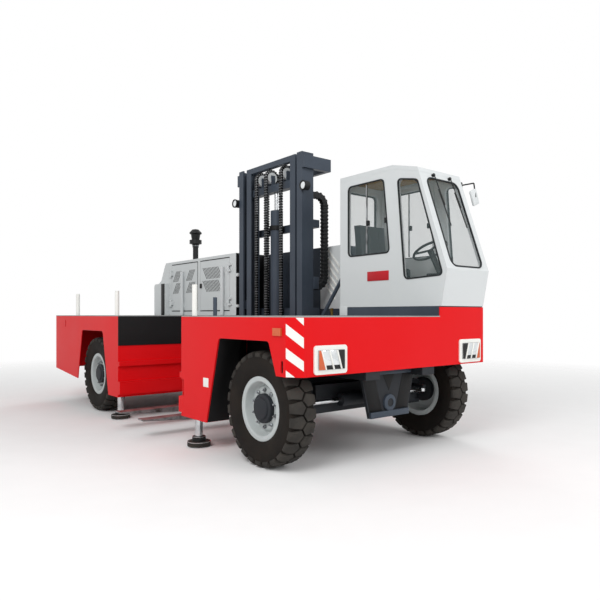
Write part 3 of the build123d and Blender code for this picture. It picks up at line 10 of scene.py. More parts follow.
import bpy
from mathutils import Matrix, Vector


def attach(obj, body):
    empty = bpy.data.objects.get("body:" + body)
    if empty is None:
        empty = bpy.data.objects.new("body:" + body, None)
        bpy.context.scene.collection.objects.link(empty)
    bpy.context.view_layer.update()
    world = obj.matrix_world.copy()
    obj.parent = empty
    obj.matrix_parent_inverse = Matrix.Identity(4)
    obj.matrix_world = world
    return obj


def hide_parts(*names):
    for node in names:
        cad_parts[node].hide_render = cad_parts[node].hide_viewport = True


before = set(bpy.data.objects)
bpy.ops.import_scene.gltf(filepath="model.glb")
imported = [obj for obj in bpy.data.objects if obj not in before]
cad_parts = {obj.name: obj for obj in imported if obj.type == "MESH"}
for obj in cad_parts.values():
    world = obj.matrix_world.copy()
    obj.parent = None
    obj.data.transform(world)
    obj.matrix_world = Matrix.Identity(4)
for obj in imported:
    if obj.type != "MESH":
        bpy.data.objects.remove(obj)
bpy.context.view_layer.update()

# %% [markdown]
# ## Camera
# The photograph was taken from the load side's front corner, at about eye height. A level camera
# keeps the truck's uprights upright, and a small shift puts the horizon where the photograph has
# it.

# %% Camera at the photograph's angle
camera = bpy.data.objects.new("camera", bpy.data.cameras.new("camera"))
bpy.context.scene.collection.objects.link(camera)
camera.location = (6.8013, -4.2128, 1.3743)
camera.rotation_euler = (radians(90), 0, radians(50.83))
camera.data.sensor_width = 36
camera.data.lens = 35.03
camera.data.shift_x = -0.0048
camera.data.shift_y = 0.0240
camera.data.clip_end = 200
bpy.context.scene.camera = camera
bpy.context.scene.view_settings.view_transform = "Standard"
print("camera at", tuple(round(place, 2) for place in camera.location))

# %% [markdown]
# ## Finishes
# A material is a small tree of nodes. Colours are written as they look on a screen, so one function
# turns the hex value to linear light. A second one adds a node with its settings and links: a word
# names an input, a number names an input by place, and a small letter starts a property. Short
# helpers on top of it make what every finish needs: noise, ranges, blends and bumps.

# %% Colour and node helpers
def linear(colour):
    """Linear colour of an sRGB hex value."""
    shares = [int(colour[place:place + 2], 16) / 255 for place in (1, 3, 5)]
    return [share / 12.92 if share <= 0.04045 else ((share + 0.055) / 1.055) ** 2.4 for share in shares] + [1]


def add(tree, kind, settings=None, links=None):
    """Adds a node, sets its inputs or properties, and links what feeds it."""
    made = tree.nodes.new(kind)
    for name, value in (settings or {}).items():
        if isinstance(name, str) and name[0].islower():
            setattr(made, name, value)
        else:
            made.inputs[name].default_value = value
    for name, source in (links or {}).items():
        tree.links.new(source, made.inputs[name])
    return made


def noise(tree, place, scale, detail):
    """Value of a noise of a scale per metre."""
    grains = add(tree, "ShaderNodeTexNoise", {"Scale": scale, "Detail": detail}, {"Vector": place})
    return grains.outputs["Fac"]


def ranged(tree, value, start, end, low=0.0, high=1.0):
    """Value between low and high brought to the range from start to end."""
    limits = {"From Min": low, "From Max": high, "To Min": start, "To Max": end}
    return add(tree, "ShaderNodeMapRange", limits, {"Value": value}).outputs["Result"]


def blended(tree, amount, colour, other):
    """Colour that goes over to another one by an amount."""
    colours = {"data_type": "RGBA", 6: linear(colour), 7: linear(other)}
    return add(tree, "ShaderNodeMix", colours, {0: amount}).outputs[2]


def bumped(tree, height, strength, distance, **links):
    """Normal of a surface that stands out by a height."""
    return add(tree, "ShaderNodeBump", {"Strength": strength, "Distance": distance},
               {"Height": height, **links}).outputs["Normal"]


def connected(tree, shader, colour, roughness, normal):
    """Feeds the shader with its colour, roughness and normal."""
    for socket, source in (("Base Color", colour), ("Roughness", roughness), ("Normal", normal)):
        tree.links.new(source, shader.inputs[socket])


def started(name, sockets):
    """A new material, its tree, its shader with plain sockets set, and the piece's own coordinates."""
    finish = bpy.data.materials.new(name)
    finish.use_nodes = True
    tree = finish.node_tree
    shader = tree.nodes["Principled BSDF"]
    for socket, value in sockets.items():
        shader.inputs[socket].default_value = value
    return finish, tree, shader, add(tree, "ShaderNodeTexCoord").outputs["Object"]


# %% [markdown]
# ### Enamel
# The sheet metal is sprayed with enamel. Sprayed paint has a fine orange peel, fades in broad clouds and
# gathers dust. A Bevel node finds the edges: where its rounded normal leaves the true one, the colour goes
# over to a second one. In most paints that colour is paler, a painted highlight along the edges with a little
# wear. The same normal rounds the sharp edges of the sheet.

# %% Sprayed enamel in the truck's colours
def enamel(name, colour, edge_and_cloud_colour, roughness, peel_mm=7, cloud_mm=600, shine=0.22):
    """Sprayed enamel: even colour with faint clouds, a fine orange peel, and edges in a second colour, mostly
    a paler painted highlight.
    """
    finish, tree, shader, place = started(name, {"Specular IOR Level": shine})
    cloud = noise(tree, place, 1000 / cloud_mm, 5)
    peel = noise(tree, place, 1000 / peel_mm, 1)
    rounded = add(tree, "ShaderNodeBevel", {"samples": 4, "Radius": 0.005}).outputs["Normal"]
    flat = add(tree, "ShaderNodeNewGeometry").outputs["Normal"]
    same = add(tree, "ShaderNodeVectorMath", {"operation": "DOT_PRODUCT"}, {0: rounded, 1: flat})
    # Edge mask: along the edges the colour goes over to the second one, mostly a paler painted highlight with
    # slight wear
    edge = ranged(tree, same.outputs["Value"], 0, 0.55, 0.995, 0.80)
    fade = ranged(tree, cloud, 0, 0.30, 0.35, 0.75)
    most = add(tree, "ShaderNodeMath", {"operation": "MAXIMUM"}, {0: edge, 1: fade}).outputs["Value"]
    connected(tree, shader, blended(tree, most, colour, edge_and_cloud_colour),
              ranged(tree, cloud, roughness - 0.06, roughness + 0.10),
              bumped(tree, peel, 0.06, 0.001, Normal=rounded))
    return finish


# Bright red with a thin gloss: flat panels with soft wide reflections
RED = enamel("red_enamel", "#DC0F15", "#DF2028", 0.40, shine=0.12)
# Pale grey of the cab and hood: nearly white, with faint clouds of dust
PALE = enamel("pale_grey_enamel", "#D3D7D8", "#DEE1E1", 0.40)
# Duller grey of the rims, dusty from the road
RIM_GREY = enamel("rim_grey_enamel", "#B9BFBF", "#A3A5A2", 0.48, cloud_mm=120)
# Dark blue-grey of the mast: satin, its edges painted a lighter grey as a highlight, with slight wear
SLATE = enamel("slate_enamel", "#3A424D", "#5A6470", 0.42)
# Darker slate of the underside and the hub caps: the mast's paint made darker, as painted shade under the
# body
UNDER = enamel("painted_shade_slate_enamel", "#24272C", "#3A3A3A", 0.55, cloud_mm=160)
# Black of the well panel: deep satin; the same black is the painted shade in the arches, beside the hanger
# and on the hood
BLACK = enamel("black_enamel", "#0B0B0C", "#1B1B1D", 0.50)
# Cream white of the lamp plates, stripes, slats and stakes
WHITE = enamel("white_enamel", "#EDEDE8", "#F6F6F2", 0.36)
# Dark red of a sign plate
SIGN = enamel("sign_red_enamel", "#B8141F", "#CC3A44", 0.34)
print("enamels:", len(bpy.data.materials))

# %% [markdown]
# ### Metals
# Bare metal shows how it was worked: the forks are rolled and scuffed along their length, the rods
# are ground and chromed, chains are oiled steel. All of them are one recipe of streaks and stains
# with other values.

# %% Bare metals
def bare_metal(name, colour, stain, roughness, streak, grain_mm=9):
    """Worked metal: fine streaks along one axis, with stains that are darker and duller."""
    finish, tree, shader, place = started(name, {"Metallic": 1.0})
    stretch = add(tree, "ShaderNodeMapping", {"Scale": [1000 / grain_mm / share for share in streak]},
                  {"Vector": place})
    grain = noise(tree, stretch.outputs["Vector"], 1.0, 3)
    dark = ranged(tree, noise(tree, place, 9.0, 6), 0, 1, 0.45, 0.68)
    connected(tree, shader, blended(tree, dark, colour, stain),
              ranged(tree, grain, roughness * 0.75, roughness * 1.35), bumped(tree, grain, 0.12, 0.0006))
    return finish


# Rolled fork steel, scuffed along Y: grey with long streaks
FORK_STEEL = bare_metal("rolled_fork_steel", "#9A9B9C", "#5C5B58", 0.38, (1, 14, 1))
# Chromed rods: bright, hardly a mark
CHROME = bare_metal("ground_chrome", "#D9DBDD", "#B4B6B8", 0.12, (1, 1, 10), 14)
# Oiled chain steel: nearly black plates with bright worn spots
CHAIN_STEEL = bare_metal("oiled_chain_steel", "#3B3B3C", "#121212", 0.36, (1, 1, 1), 16)
# Zinc-plated nuts and knobs
ZINC = bare_metal("zinc_plated_steel", "#A2A5A8", "#6A6B6B", 0.34, (1, 1, 1), 6)
# Silvered glass of the mirror and the lamp bowls
SILVER = bare_metal("silvered_glass", "#E6E9EA", "#D5D9DB", 0.06, (1, 1, 1), 60)
# Brass pipe fittings
BRASS = bare_metal("brass_fitting", "#8F7440", "#5C4623", 0.38, (1, 1, 1), 8)
print("enamels and metals:", len(bpy.data.materials))

# %% [markdown]
# ### Castings, deck, rubber and plastics
# These are not shiny. Each is one colour broken up by grains of its real size: sand-cast pits on
# the engine, anti-slip grit on the deck, brown dust on the tyres, a fine moulded grain on plastic.

# %% Rough and moulded finishes
def grained(name, colour, dust, roughness, grain_mm, dust_mm, depth_mm, dust_share=0.5, shine=0.5):
    """Dull finish: a grain of real size that stands out, and dust in broad patches."""
    finish, tree, shader, place = started(name, {"Specular IOR Level": shine})
    grain = noise(tree, place, 1000 / grain_mm, 3)
    amount = ranged(tree, noise(tree, place, 1000 / dust_mm, 6), 0, dust_share, 0.38, 0.72)
    connected(tree, shader, blended(tree, amount, colour, dust),
              ranged(tree, grain, roughness - 0.10, roughness + 0.10),
              bumped(tree, grain, 0.35, depth_mm / 1000))
    return finish


# Sand-cast iron: dark with coarse pits
CAST = grained("sand_cast_iron", "#2E2B28", "#463F38", 0.62, 5, 120, 0.8, shine=0.2)
# Grey anti-slip paint with grit on the deck: matt, speckled, drawn at 6 mm so that it shows
DECK = grained("gritted_deck_paint", "#9DA0A0", "#7D7D79", 0.70, 6, 400, 0.9, shine=0.2)
# Sidewall rubber: smooth brown-black with a breath of dust
RUBBER = grained("sidewall_rubber", "#171412", "#2B241E", 0.74, 8, 260, 0.4, 0.6, shine=0.15)
# Tread rubber: scuffed to a dusty grey by the road
TREAD = grained("scuffed_tread_rubber", "#33312F", "#4A4641", 0.82, 9, 200, 0.8, 0.7, shine=0.12)
# Black seal rubber: smooth and even
SEAL = grained("seal_rubber", "#15191C", "#262B2E", 0.52, 3, 180, 0.1, shine=0.25)
# Moulded black plastic with a fine grain
PLASTIC = grained("moulded_black_plastic", "#121314", "#242527", 0.46, 2.5, 150, 0.15, shine=0.28)
# Seat vinyl: dark blue-grey with a leather grain
VINYL = grained("seat_vinyl", "#3B4245", "#2E3335", 0.55, 3, 90, 0.35, shine=0.3)
# Olive rubber mat on the cab floor
MAT = grained("olive_floor_mat", "#A3965A", "#7F7442", 0.85, 5, 140, 0.6, shine=0.15)
# Headlining felt: brown, soft and matt
FELT = grained("headlining_felt", "#A98A5C", "#B89B70", 0.92, 3, 200, 0.5, shine=0.1)
print("finishes without covers:", len(bpy.data.materials))

# %% [markdown]
# ### Glass and lamp plastics
# Window glass shows as a faint green tint, a few smears and clear reflections. It is thin, so it is
# made see-through instead of refracting. Lamp covers are clear or coloured plastic with fine ribs
# that scatter the light.

# %% Glass and lamp plastics
def clear_cover(name, colour, alpha, roughness, rib_mm, depth_mm, shine):
    """Glass or lamp plastic: a tint, fine ribs or smears in its gloss, and an even see-through share."""
    finish, tree, shader, place = started(name, {"Alpha": alpha, "Specular IOR Level": shine})
    smear = noise(tree, place, 7.0, 4)
    rib = add(tree, "ShaderNodeTexWave",
              {"wave_type": "BANDS", "bands_direction": "Y", "Scale": 1000 / rib_mm / 20}, {"Vector": place})
    connected(tree, shader, blended(tree, ranged(tree, smear, 0, 0.08), colour, "#FFFFFF"),
              ranged(tree, smear, roughness, roughness + 0.08),
              bumped(tree, rib.outputs["Fac"], 0.25, depth_mm / 1000))
    return finish


# Tinted safety glass: green-grey, clear, with sharp reflections
GLASS = clear_cover("tinted_safety_glass", "#5F7475", 0.14, 0.02, 400, 0.02, shine=0.7)
# Ribbed clear lens of a headlamp
LENS = clear_cover("ribbed_clear_lens", "#DDE2E4", 0.42, 0.05, 12, 1.0, shine=0.8)
# Amber and red lamp covers: saturated, glossy and ribbed
AMBER = clear_cover("amber_lamp_cover", "#CC5204", 0.97, 0.15, 9, 1.0, shine=0.3)
TAIL_RED = clear_cover("red_lamp_cover", "#A30C14", 0.97, 0.15, 9, 1.0, shine=0.3)
print("finishes:", len(bpy.data.materials))

# %% [markdown]
# ## Slots of the new pieces
# The part's record groups its nodes by material slot.

# %% [markdown]
# ## Finishes on the imported nodes
# Each node gets the finish that its piece has on the truck. Nodes that a detailed piece replaces
# later get one too, because they are still there in the file.

# %% Finish of every node
NODE_FINISH = {
    RED: "front_body rear_body guide_ledges",
    BLACK: "well_panel",
    DECK: "deck_plates",
    WHITE: "stakes headlamp_plates",
    SLATE: "deck_bars tow_plate jack_sleeves far_housing cab_base seat_base outer_mast lift_barrel "
           "inner_mast fork_carriage",
    UNDER: "chassis_frame front_axle rear_axle left_knuckle right_knuckle",
    PALE: "hood_shell hood_front_door hood_rear_door side_box far_grille cab_load_wall cab_far_wall "
          "cab_rear_wall cab_front cab_roof cab_door mirror chain_wheels",
    RIM_GREY: "front_left_rim front_right_rim rear_left_rim rear_right_rim",
    PLASTIC: "air_intake console work_lamps hose_carrier",
    GLASS: "cab_glass cab_door_glass",
    LENS: "headlamp_lenses",
    AMBER: "amber_lamps",
    TAIL_RED: "tail_lamps",
    CHROME: "steering_rod lift_rod front_jack rear_jack",
    CHAIN_STEEL: "lift_chains",
    FORK_STEEL: "forks",
    CAST: "engine_block",
    VINYL: "seat",
    RUBBER: "front_left_tyre front_right_tyre rear_left_tyre rear_right_tyre",
}
dressed = 0
for finish, names in NODE_FINISH.items():
    for name in names.split():
        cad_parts[name].data.materials.clear()
        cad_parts[name].data.materials.append(finish)
        dressed += 1
print("nodes with a finish:", dressed, "of", len(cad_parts))

# %% [markdown]
# ## Ways to model a piece
# A piece starts from a primitive or from one vertex that is drawn out along an outline, and is then
# shaped in edit mode. These helpers do what a modeller repeats by hand: deselect, draw, extrude,
# spin, bevel the sharp edges, and leave the object at the origin with its place in the mesh.

# %% Modelling helpers
UP = (0, 0, 1)
THIN_EDGE = 0.0005


def deselect():
    """Object mode with nothing selected."""
    if bpy.context.object and bpy.context.object.mode != "OBJECT":
        bpy.ops.object.mode_set(mode="OBJECT")
    bpy.ops.object.select_all(action="DESELECT")


def only(*pieces):
    """Just these pieces selected, the first one active."""
    deselect()
    for piece in pieces:
        piece.select_set(True)
    bpy.context.view_layer.objects.active = pieces[0]


def edit_all():
    """Edit mode with everything selected."""
    bpy.ops.object.mode_set(mode="EDIT")
    bpy.ops.mesh.select_mode(type="VERT")
    bpy.ops.mesh.select_all(action="SELECT")


def soften(edge, segments=2, angle=40):
    """Bevels the edges that are sharper than an angle."""
    bpy.ops.mesh.select_mode(type="EDGE")
    bpy.ops.mesh.select_all(action="DESELECT")
    bpy.ops.mesh.edges_select_sharp(sharpness=radians(angle))
    bpy.ops.mesh.bevel(offset=edge, offset_type="OFFSET", segments=segments, affect="EDGES",
                       clamp_overlap=True)


def settled(smooth=35):
    """Ends the edit: place in the mesh, smooth faces with crisp edges."""
    bpy.ops.object.mode_set(mode="OBJECT")
    bpy.ops.object.transform_apply(location=True, rotation=True, scale=True)
    bpy.ops.object.shade_smooth_by_angle(angle=radians(smooth))
    return bpy.context.object


def bar(low, high, edge=0.003, segments=2):
    """Bar between two corners, from a cube with softened edges."""
    deselect()
    bpy.ops.mesh.primitive_cube_add(size=1, location=[(a + b) / 2 for a, b in zip(low, high)])
    bpy.context.object.scale = [b - a for a, b in zip(low, high)]
    bpy.ops.object.transform_apply(location=True, rotation=False, scale=True)
    edit_all()
    soften(edge, segments)
    return settled()


def rod(start, end, radius, edge=0.002, sides=24):
    """Round bar from point to point, from a cylinder with softened ends."""
    deselect()
    run = Vector(end) - Vector(start)
    bpy.ops.mesh.primitive_cylinder_add(vertices=sides, radius=radius, depth=run.length,
                                        location=(Vector(start) + Vector(end)) / 2,
                                        rotation=run.to_track_quat("Z", "Y").to_euler())
    edit_all()
    soften(edge, 1, 65)
    return settled()


def drawn(points, closed=False):
    """One vertex drawn out along points, and filled where the outline is closed; stays in edit mode."""
    deselect()
    bpy.ops.mesh.primitive_plane_add(size=0.01, location=points[0])
    edit_all()
    bpy.ops.mesh.merge(type="CENTER")
    for start, end in zip(points, points[1:]):
        bpy.ops.mesh.extrude_vertices_move(TRANSFORM_OT_translate={"value": Vector(end) - Vector(start)})
    bpy.ops.mesh.select_all(action="SELECT")
    if closed:
        bpy.ops.mesh.edge_face_add()


def tidy_shell():
    """Merges doubles and turns all faces outwards."""
    bpy.ops.mesh.select_all(action="SELECT")
    bpy.ops.mesh.remove_doubles(threshold=0.00005)
    bpy.ops.mesh.normals_make_consistent(inside=False)


def plate(points, push, edge=0.002, segments=2):
    """Flat plate from an outline, pushed out by a vector, with softened edges."""
    drawn(points, closed=True)
    bpy.ops.mesh.extrude_region_move(TRANSFORM_OT_translate={"value": push})
    tidy_shell()
    soften(edge, segments)
    return settled()


def frame_strip(points, push, corner, outside, inside):
    """Strip around an opening: outline with rounded corners, widened both ways and pushed out by a vector."""
    drawn(points, closed=True)
    bpy.ops.mesh.bevel(offset=corner, segments=6, affect="VERTICES", offset_type="OFFSET")
    bpy.ops.mesh.select_mode(type="FACE")
    bpy.ops.mesh.select_all(action="SELECT")
    bpy.ops.mesh.inset(thickness=outside, use_outset=True)
    bpy.ops.mesh.inset(thickness=inside)
    bpy.ops.mesh.delete(type="FACE")
    bpy.ops.mesh.select_all(action="SELECT")
    bpy.ops.mesh.extrude_region_move(TRANSFORM_OT_translate={"value": push})
    tidy_shell()
    soften(0.004)
    return settled()


def turned(profile, centre, axis, steps, edge=0):
    """Turned piece: a profile of (radius, distance along the axis) spun once round it."""
    axis = Vector(axis)
    side = Vector((1, 0, 0)) if abs(axis.x) < 0.5 else Vector((0, 1, 0))
    drawn([Vector(centre) + side * radius + axis * along for radius, along in profile])
    bpy.ops.mesh.spin(steps=steps, angle=tau, center=centre, axis=axis)
    tidy_shell()
    if edge:
        soften(edge, 2, 30)
    return settled(30)


def moved(piece, shift=(0, 0, 0), turn=0, axis="Z", about=(0, 0, 0)):
    """The piece turned about a point and then moved, with its place in its mesh."""
    only(piece)
    if turn:
        bpy.ops.transform.rotate(value=-turn, orient_axis=axis, center_override=about)
    bpy.ops.transform.translate(value=shift)
    bpy.ops.object.transform_apply(location=True, rotation=True, scale=True)
    return piece


def copy_of(piece, shift=(0, 0, 0), turn=0):
    """Copy with a mesh of its own, turned about the upright axis and then moved."""
    only(piece)
    bpy.ops.object.duplicate()
    return moved(bpy.context.object, shift, turn)


def cleared(*pieces):
    """Takes away the masters that only served for copies."""
    only(*pieces)
    bpy.ops.object.delete()


def in_a_row(piece, step, count):
    """The same mesh repeated along a line, by an Array modifier that is applied."""
    only(piece)
    row = piece.modifiers.new("row", "ARRAY")
    row.use_relative_offset = False
    row.use_constant_offset = True
    row.constant_offset_displace = step
    row.count = count
    bpy.ops.object.modifier_apply(modifier="row")
    return piece


def in_an_arc(piece, count, angle, centre, axis):
    """The same mesh repeated over an arc; a positive angle turns right-handed about the axis."""
    only(piece)
    edit_all()
    bpy.ops.mesh.spin(steps=count, dupli=True, angle=angle, center=centre, axis=-Vector(axis))
    return settled()


def joined(pieces):
    """Several meshes made one piece."""
    only(*pieces)
    if len(pieces) > 1:
        bpy.ops.object.join()
    return pieces[0]


def ringed(piece, count, centre, axis):
    """The same mesh repeated evenly round an axis."""
    return in_an_arc(piece, count - 1, tau * (count - 1) / count, centre, axis)


def fitted(piece, name, finish, body="chassis", replaced=()):
    """Names a finished piece, gives it its finish and body, and hides the nodes that it replaces."""
    piece.name = piece.data.name = name
    piece.data.materials.clear()
    piece.data.materials.append(finish)
    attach(piece, body)
    if replaced:
        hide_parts(*replaced)
    print(f"{name}: {len(piece.data.polygons)} faces on {body}")
    return piece


# %% [markdown]
# ## Wheels
# Each wheel has a wide solid-looking tyre: a smooth brown-black sidewall and two rows of staggered
# five-sided blocks. The carcass is turned from a profile. One block is drawn in section, pushed
# out, and cut to five sides by four planes; spinning copies of it round the axle gives a row.
# Everything is modelled at the origin and copied.

# %% Tyre block and tyre
HUB, AXLE = (0, 0, 0), (0, 1, 0)
# Radius and distance from the wheel's middle plane, from the bead to the tread
TYRE_SIDE = [(0.256, 0.090), (0.2925, 0.096), (0.294, 0.106), (0.302, 0.1130), (0.335, 0.1250),
             (0.385, 0.1320), (0.430, 0.1315), (0.466, 0.1270), (0.488, 0.1180), (0.496, 0.1000)]
TYRE_STEPS = 78
# Distance from the middle plane and radius
BLOCK_SECTION = [(-0.012, 0.486), (-0.012, 0.5205), (0.060, 0.5215), (0.108, 0.5180), (0.1330, 0.5030),
                 (0.1368, 0.4860), (0.1352, 0.4720), (0.1240, 0.4640), (0.105, 0.4860)]
BLOCK_HALF, BLOCK_CORNER_Y = 0.057, 0.028
SHOULDER_HALF, SHOULDER_Y = 0.038, 0.1368
BLOCKS_AROUND = 26


def tyre_block():
    """One five-sided block: section pushed along the tread, then cut to a point and a narrower shoulder."""
    drawn([(-BLOCK_HALF, y, radius) for y, radius in BLOCK_SECTION], closed=True)
    bpy.ops.mesh.extrude_region_move(TRANSFORM_OT_translate={"value": (2 * BLOCK_HALF, 0, 0)})
    tidy_shell()
    point_y = BLOCK_SECTION[0][0]
    for side in (-1, 1):
        corner = (side * BLOCK_HALF, BLOCK_CORNER_Y, 0)
        cuts = ((side * (BLOCK_CORNER_Y - point_y), -BLOCK_HALF, 0),
                (side * (SHOULDER_Y - BLOCK_CORNER_Y), BLOCK_HALF - SHOULDER_HALF, 0))
        for normal in cuts:
            bpy.ops.mesh.select_all(action="SELECT")
            bpy.ops.mesh.bisect(plane_co=corner, plane_no=normal, use_fill=True, clear_outer=True)
    tidy_shell()
    soften(0.003, 1)
    return settled()


tyre_outline = TYRE_SIDE + [(radius, -y) for radius, y in reversed(TYRE_SIDE)] + TYRE_SIDE[:1]
carcass = turned(tyre_outline, HUB, AXLE, TYRE_STEPS)
outer_row = ringed(tyre_block(), BLOCKS_AROUND, HUB, AXLE)
inner_row = moved(copy_of(outer_row, turn=pi), turn=pi / BLOCKS_AROUND, axis="Y")
tread = joined([outer_row, inner_row])
print("faces of a tyre:", len(carcass.data.polygons), "and of its tread:", len(tread.data.polygons))

# %% [markdown]
# The rim is a pressed disc in a broad rolled ring, so it is turned from one closed profile with its
# edges softened. The hub cap has two steps, and ten studs with nuts stand round it. A nut is a
# six-sided cylinder with its stud through it, repeated round the axle.

# %% Rim, hub cap and nuts
# Radius and distance from the middle plane
RIM_PROFILE = [(0.240, -0.108), (0.290, -0.108), (0.292, -0.104), (0.292, -0.095), (0.254, -0.091),
               (0.254, 0.091), (0.292, 0.095), (0.292, 0.104), (0.290, 0.108), (0.252, 0.108),
               (0.243, 0.100), (0.238, 0.060), (0.232, 0.022), (0.214, 0.012), (0.198, 0.034),
               (0.185, 0.042), (0.100, 0.042), (0.100, 0.014), (0.190, 0.012), (0.222, -0.012)]
CAP_PROFILE = [(0.0, 0.106), (0.092, 0.106), (0.102, 0.098), (0.102, 0.091), (0.126, 0.088),
               (0.134, 0.080), (0.134, -0.040), (0.0455, -0.040), (0.0455, 0.065), (0.0, 0.065)]
NUTS, NUT_CIRCLE, NUT_RADIUS, STUD_RADIUS = 10, 0.1675, 0.018, 0.009
master_rim = turned(RIM_PROFILE + RIM_PROFILE[:1], HUB, AXLE, 72, 0.003)
master_cap = turned(CAP_PROFILE, HUB, AXLE, 48, 0.002)
nut = rod((0, 0.038, NUT_CIRCLE), (0, 0.062, NUT_CIRCLE), NUT_RADIUS, 0.002, 6)
stud = rod((0, 0.050, NUT_CIRCLE), (0, 0.080, NUT_CIRCLE), STUD_RADIUS, 0.002, 12)
master_nuts = ringed(joined([nut, stud]), NUTS, HUB, AXLE)

# %% Four wheels from the masters
AXLE_X, AXLE_Z, WHEEL_Y = {"front": 2.485, "rear": -1.555}, 0.525, 1.0905
# Master, piece, finish and the node that the piece stands for
WHEEL_PIECES = [(carcass, "tyre_wall", RUBBER, "tyre"), (tread, "tyre_tread", TREAD, None),
                (master_rim, "rim_disc", RIM_GREY, "rim"), (master_cap, "hub_cap", UNDER, None),
                (master_nuts, "nuts", ZINC, None)]
for end, x in AXLE_X.items():
    for side, y, turn in (("left", WHEEL_Y, 0), ("right", -WHEEL_Y, pi)):
        wheel = f"{end}_{side}"
        for master, part, finish, node in WHEEL_PIECES:
            fitted(copy_of(master, (x, y, AXLE_Z), turn), f"{wheel}_{part}", finish, f"{wheel}_wheel",
                   [f"{wheel}_{node}"] if node else [])
cleared(carcass, tread, master_rim, master_cap, master_nuts)

# %% [markdown]
# ## Lift chains and hose carrier
# Leaf chains are stacks of oiled plates on bright pins. One stack in a row makes a run, and the
# same stack in an arc goes over its wheel; the pins between the stacks are repeated in the same
# way. The hose carrier is a band of moulded ribs that bulges out behind the mast, made from one rib
# in the same two ways.

# %% Leaf chains over their wheels
LINK_PITCH, LINKS_OVER, ARC_OVER = 0.035, 8, radians(167)
FRONT_RUN_Y, REAR_RUN_Y, CHAIN_WHEEL_Y, CHAIN_WHEEL_Z = 0.456, 0.648, 0.552, 3.255
FRONT_RUN_LOW_Z = 1.235
# X of the chain and height at which its rear run ends
CHAINS = {"front_chain": (0.607, 0.80), "middle_chain": (0.2662, 2.84), "rear_chain": (0.039, 0.80)}
# Radius and distance along the wheel's axis
WHEEL_HUB = [(0, 0.036), (0.026, 0.036), (0.030, 0.032), (0.030, -0.032), (0.026, -0.036), (0, -0.036)]

link_plates = bar((-0.028, -0.017, -0.0125), (0.028, 0.017, 0.0125), 0.003, 1)
link_pin = rod((-0.024, 0, 0.0175), (0.024, 0, 0.0175), 0.010, 0.002, 8)
for name, (x, rear_low) in CHAINS.items():
    for master, part, finish in ((link_plates, "plates", CHAIN_STEEL), (link_pin, "pins", ZINC)):
        runs = []
        for y, low in ((FRONT_RUN_Y, FRONT_RUN_LOW_Z), (REAR_RUN_Y, rear_low)):
            count = int((CHAIN_WHEEL_Z - low) / LINK_PITCH)
            run = copy_of(master, (x, y, CHAIN_WHEEL_Z - LINK_PITCH * count))
            runs.append(in_a_row(run, (0, 0, LINK_PITCH), count))
        over = copy_of(master, (x, FRONT_RUN_Y, CHAIN_WHEEL_Z))
        runs.append(in_an_arc(over, LINKS_OVER, -ARC_OVER, (x, CHAIN_WHEEL_Y, CHAIN_WHEEL_Z), (1, 0, 0)))
        replaced = ["lift_chains"] if (name, part) == ("middle_chain", "plates") else []
        fitted(joined(runs), f"{name}_{part}", finish, "inner_mast", replaced)
    hub = turned(WHEEL_HUB, (x, CHAIN_WHEEL_Y, CHAIN_WHEEL_Z), (1, 0, 0), 24)
    fitted(hub, name + "_wheel_hub", SLATE, "inner_mast")
cleared(link_plates, link_pin)

# %% Ribs of the hose carrier
CARRIER_X, CARRIER_Y = (0.981, 1.057), (0.817, 0.907)
CARRIER_LOW_Z, CARRIER_HIGH_Z = 1.87, 2.79
BEND_X, BEND_Y, BEND_RIBS, BEND_ANGLE = 1.019, 0.727, 4, radians(88)
RIB_START, RIB_END, RIB_STEP, RIBS = 0.014, 0.044, 0.0485, 19
HIGH_RIB_DROP, LOW_RIB_DROP = 0.012, 0.046
rib = bar((CARRIER_X[0], CARRIER_Y[0], CARRIER_LOW_Z + RIB_START),
          (CARRIER_X[1], CARRIER_Y[1], CARRIER_LOW_Z + RIB_END), 0.007, 1)
high_rib = copy_of(rib, (0, 0, CARRIER_HIGH_Z - CARRIER_LOW_Z - HIGH_RIB_DROP))
low_rib = copy_of(rib, (0, 0, -LOW_RIB_DROP))
straight = in_a_row(rib, (0, 0, RIB_STEP), RIBS)
upper = in_an_arc(high_rib, BEND_RIBS, BEND_ANGLE, (BEND_X, BEND_Y, CARRIER_HIGH_Z), (1, 0, 0))
lower = in_an_arc(low_rib, BEND_RIBS, -BEND_ANGLE, (BEND_X, BEND_Y, CARRIER_LOW_Z), (1, 0, 0))
fitted(joined([straight, upper, lower]), "hose_carrier_ribs", PLASTIC, "outer_mast")
carrier_box = bar((0.976, 0.647, 1.700), (1.062, 0.735, 1.860), 0.006)
fitted(carrier_box, "hose_carrier_box", SLATE, "outer_mast")

# %% [markdown]
# ## Lamps
# A work lamp is a round black bowl with a bright bulging lens in a thicker bezel, so both are
# turned. A headlamp is a cream frame with a slanted amber end, two bright lenses between slanted
# bars and a dark end; the far one is its mirror image. Each field is an outline pushed out of the
# plate.

# %% Work lamps on the mast
# Radius and distance out of the lamp's face
BEZEL = [(0.050, 0.000), (0.050, 0.012), (0.055, 0.017), (0.061, 0.014), (0.063, 0.004),
         (0.061, -0.012), (0.050, -0.012)]
LAMP_LENS = [(0.0, 0.016), (0.025, 0.0145), (0.042, 0.010), (0.050, 0.004), (0.050, -0.006), (0.0, -0.006)]
WORK_LAMP_X, WORK_LAMP_Y, WORK_LAMP_Z = {"front": 1.112, "rear": -0.466}, 0.425, 3.0
for end, x in WORK_LAMP_X.items():
    face = (x, WORK_LAMP_Y, WORK_LAMP_Z)
    for profile, part, finish in ((BEZEL + BEZEL[:1], "bezel", PLASTIC), (LAMP_LENS, "lens", SILVER)):
        fitted(turned(profile, face, (0, -1, 0), 40), f"{end}_work_lamp_{part}", finish, "outer_mast")

# %% Headlamp fields
LAMP_FACE_X = 3.1485
LAMP_LOW_Z, LAMP_SHADE_Z, LAMP_HIGH_Z = 0.913, 0.948, 1.074
LAMP_WIDTH, LAMP_SLANT, SHADE_SINK = 0.288, 0.050, 0.002
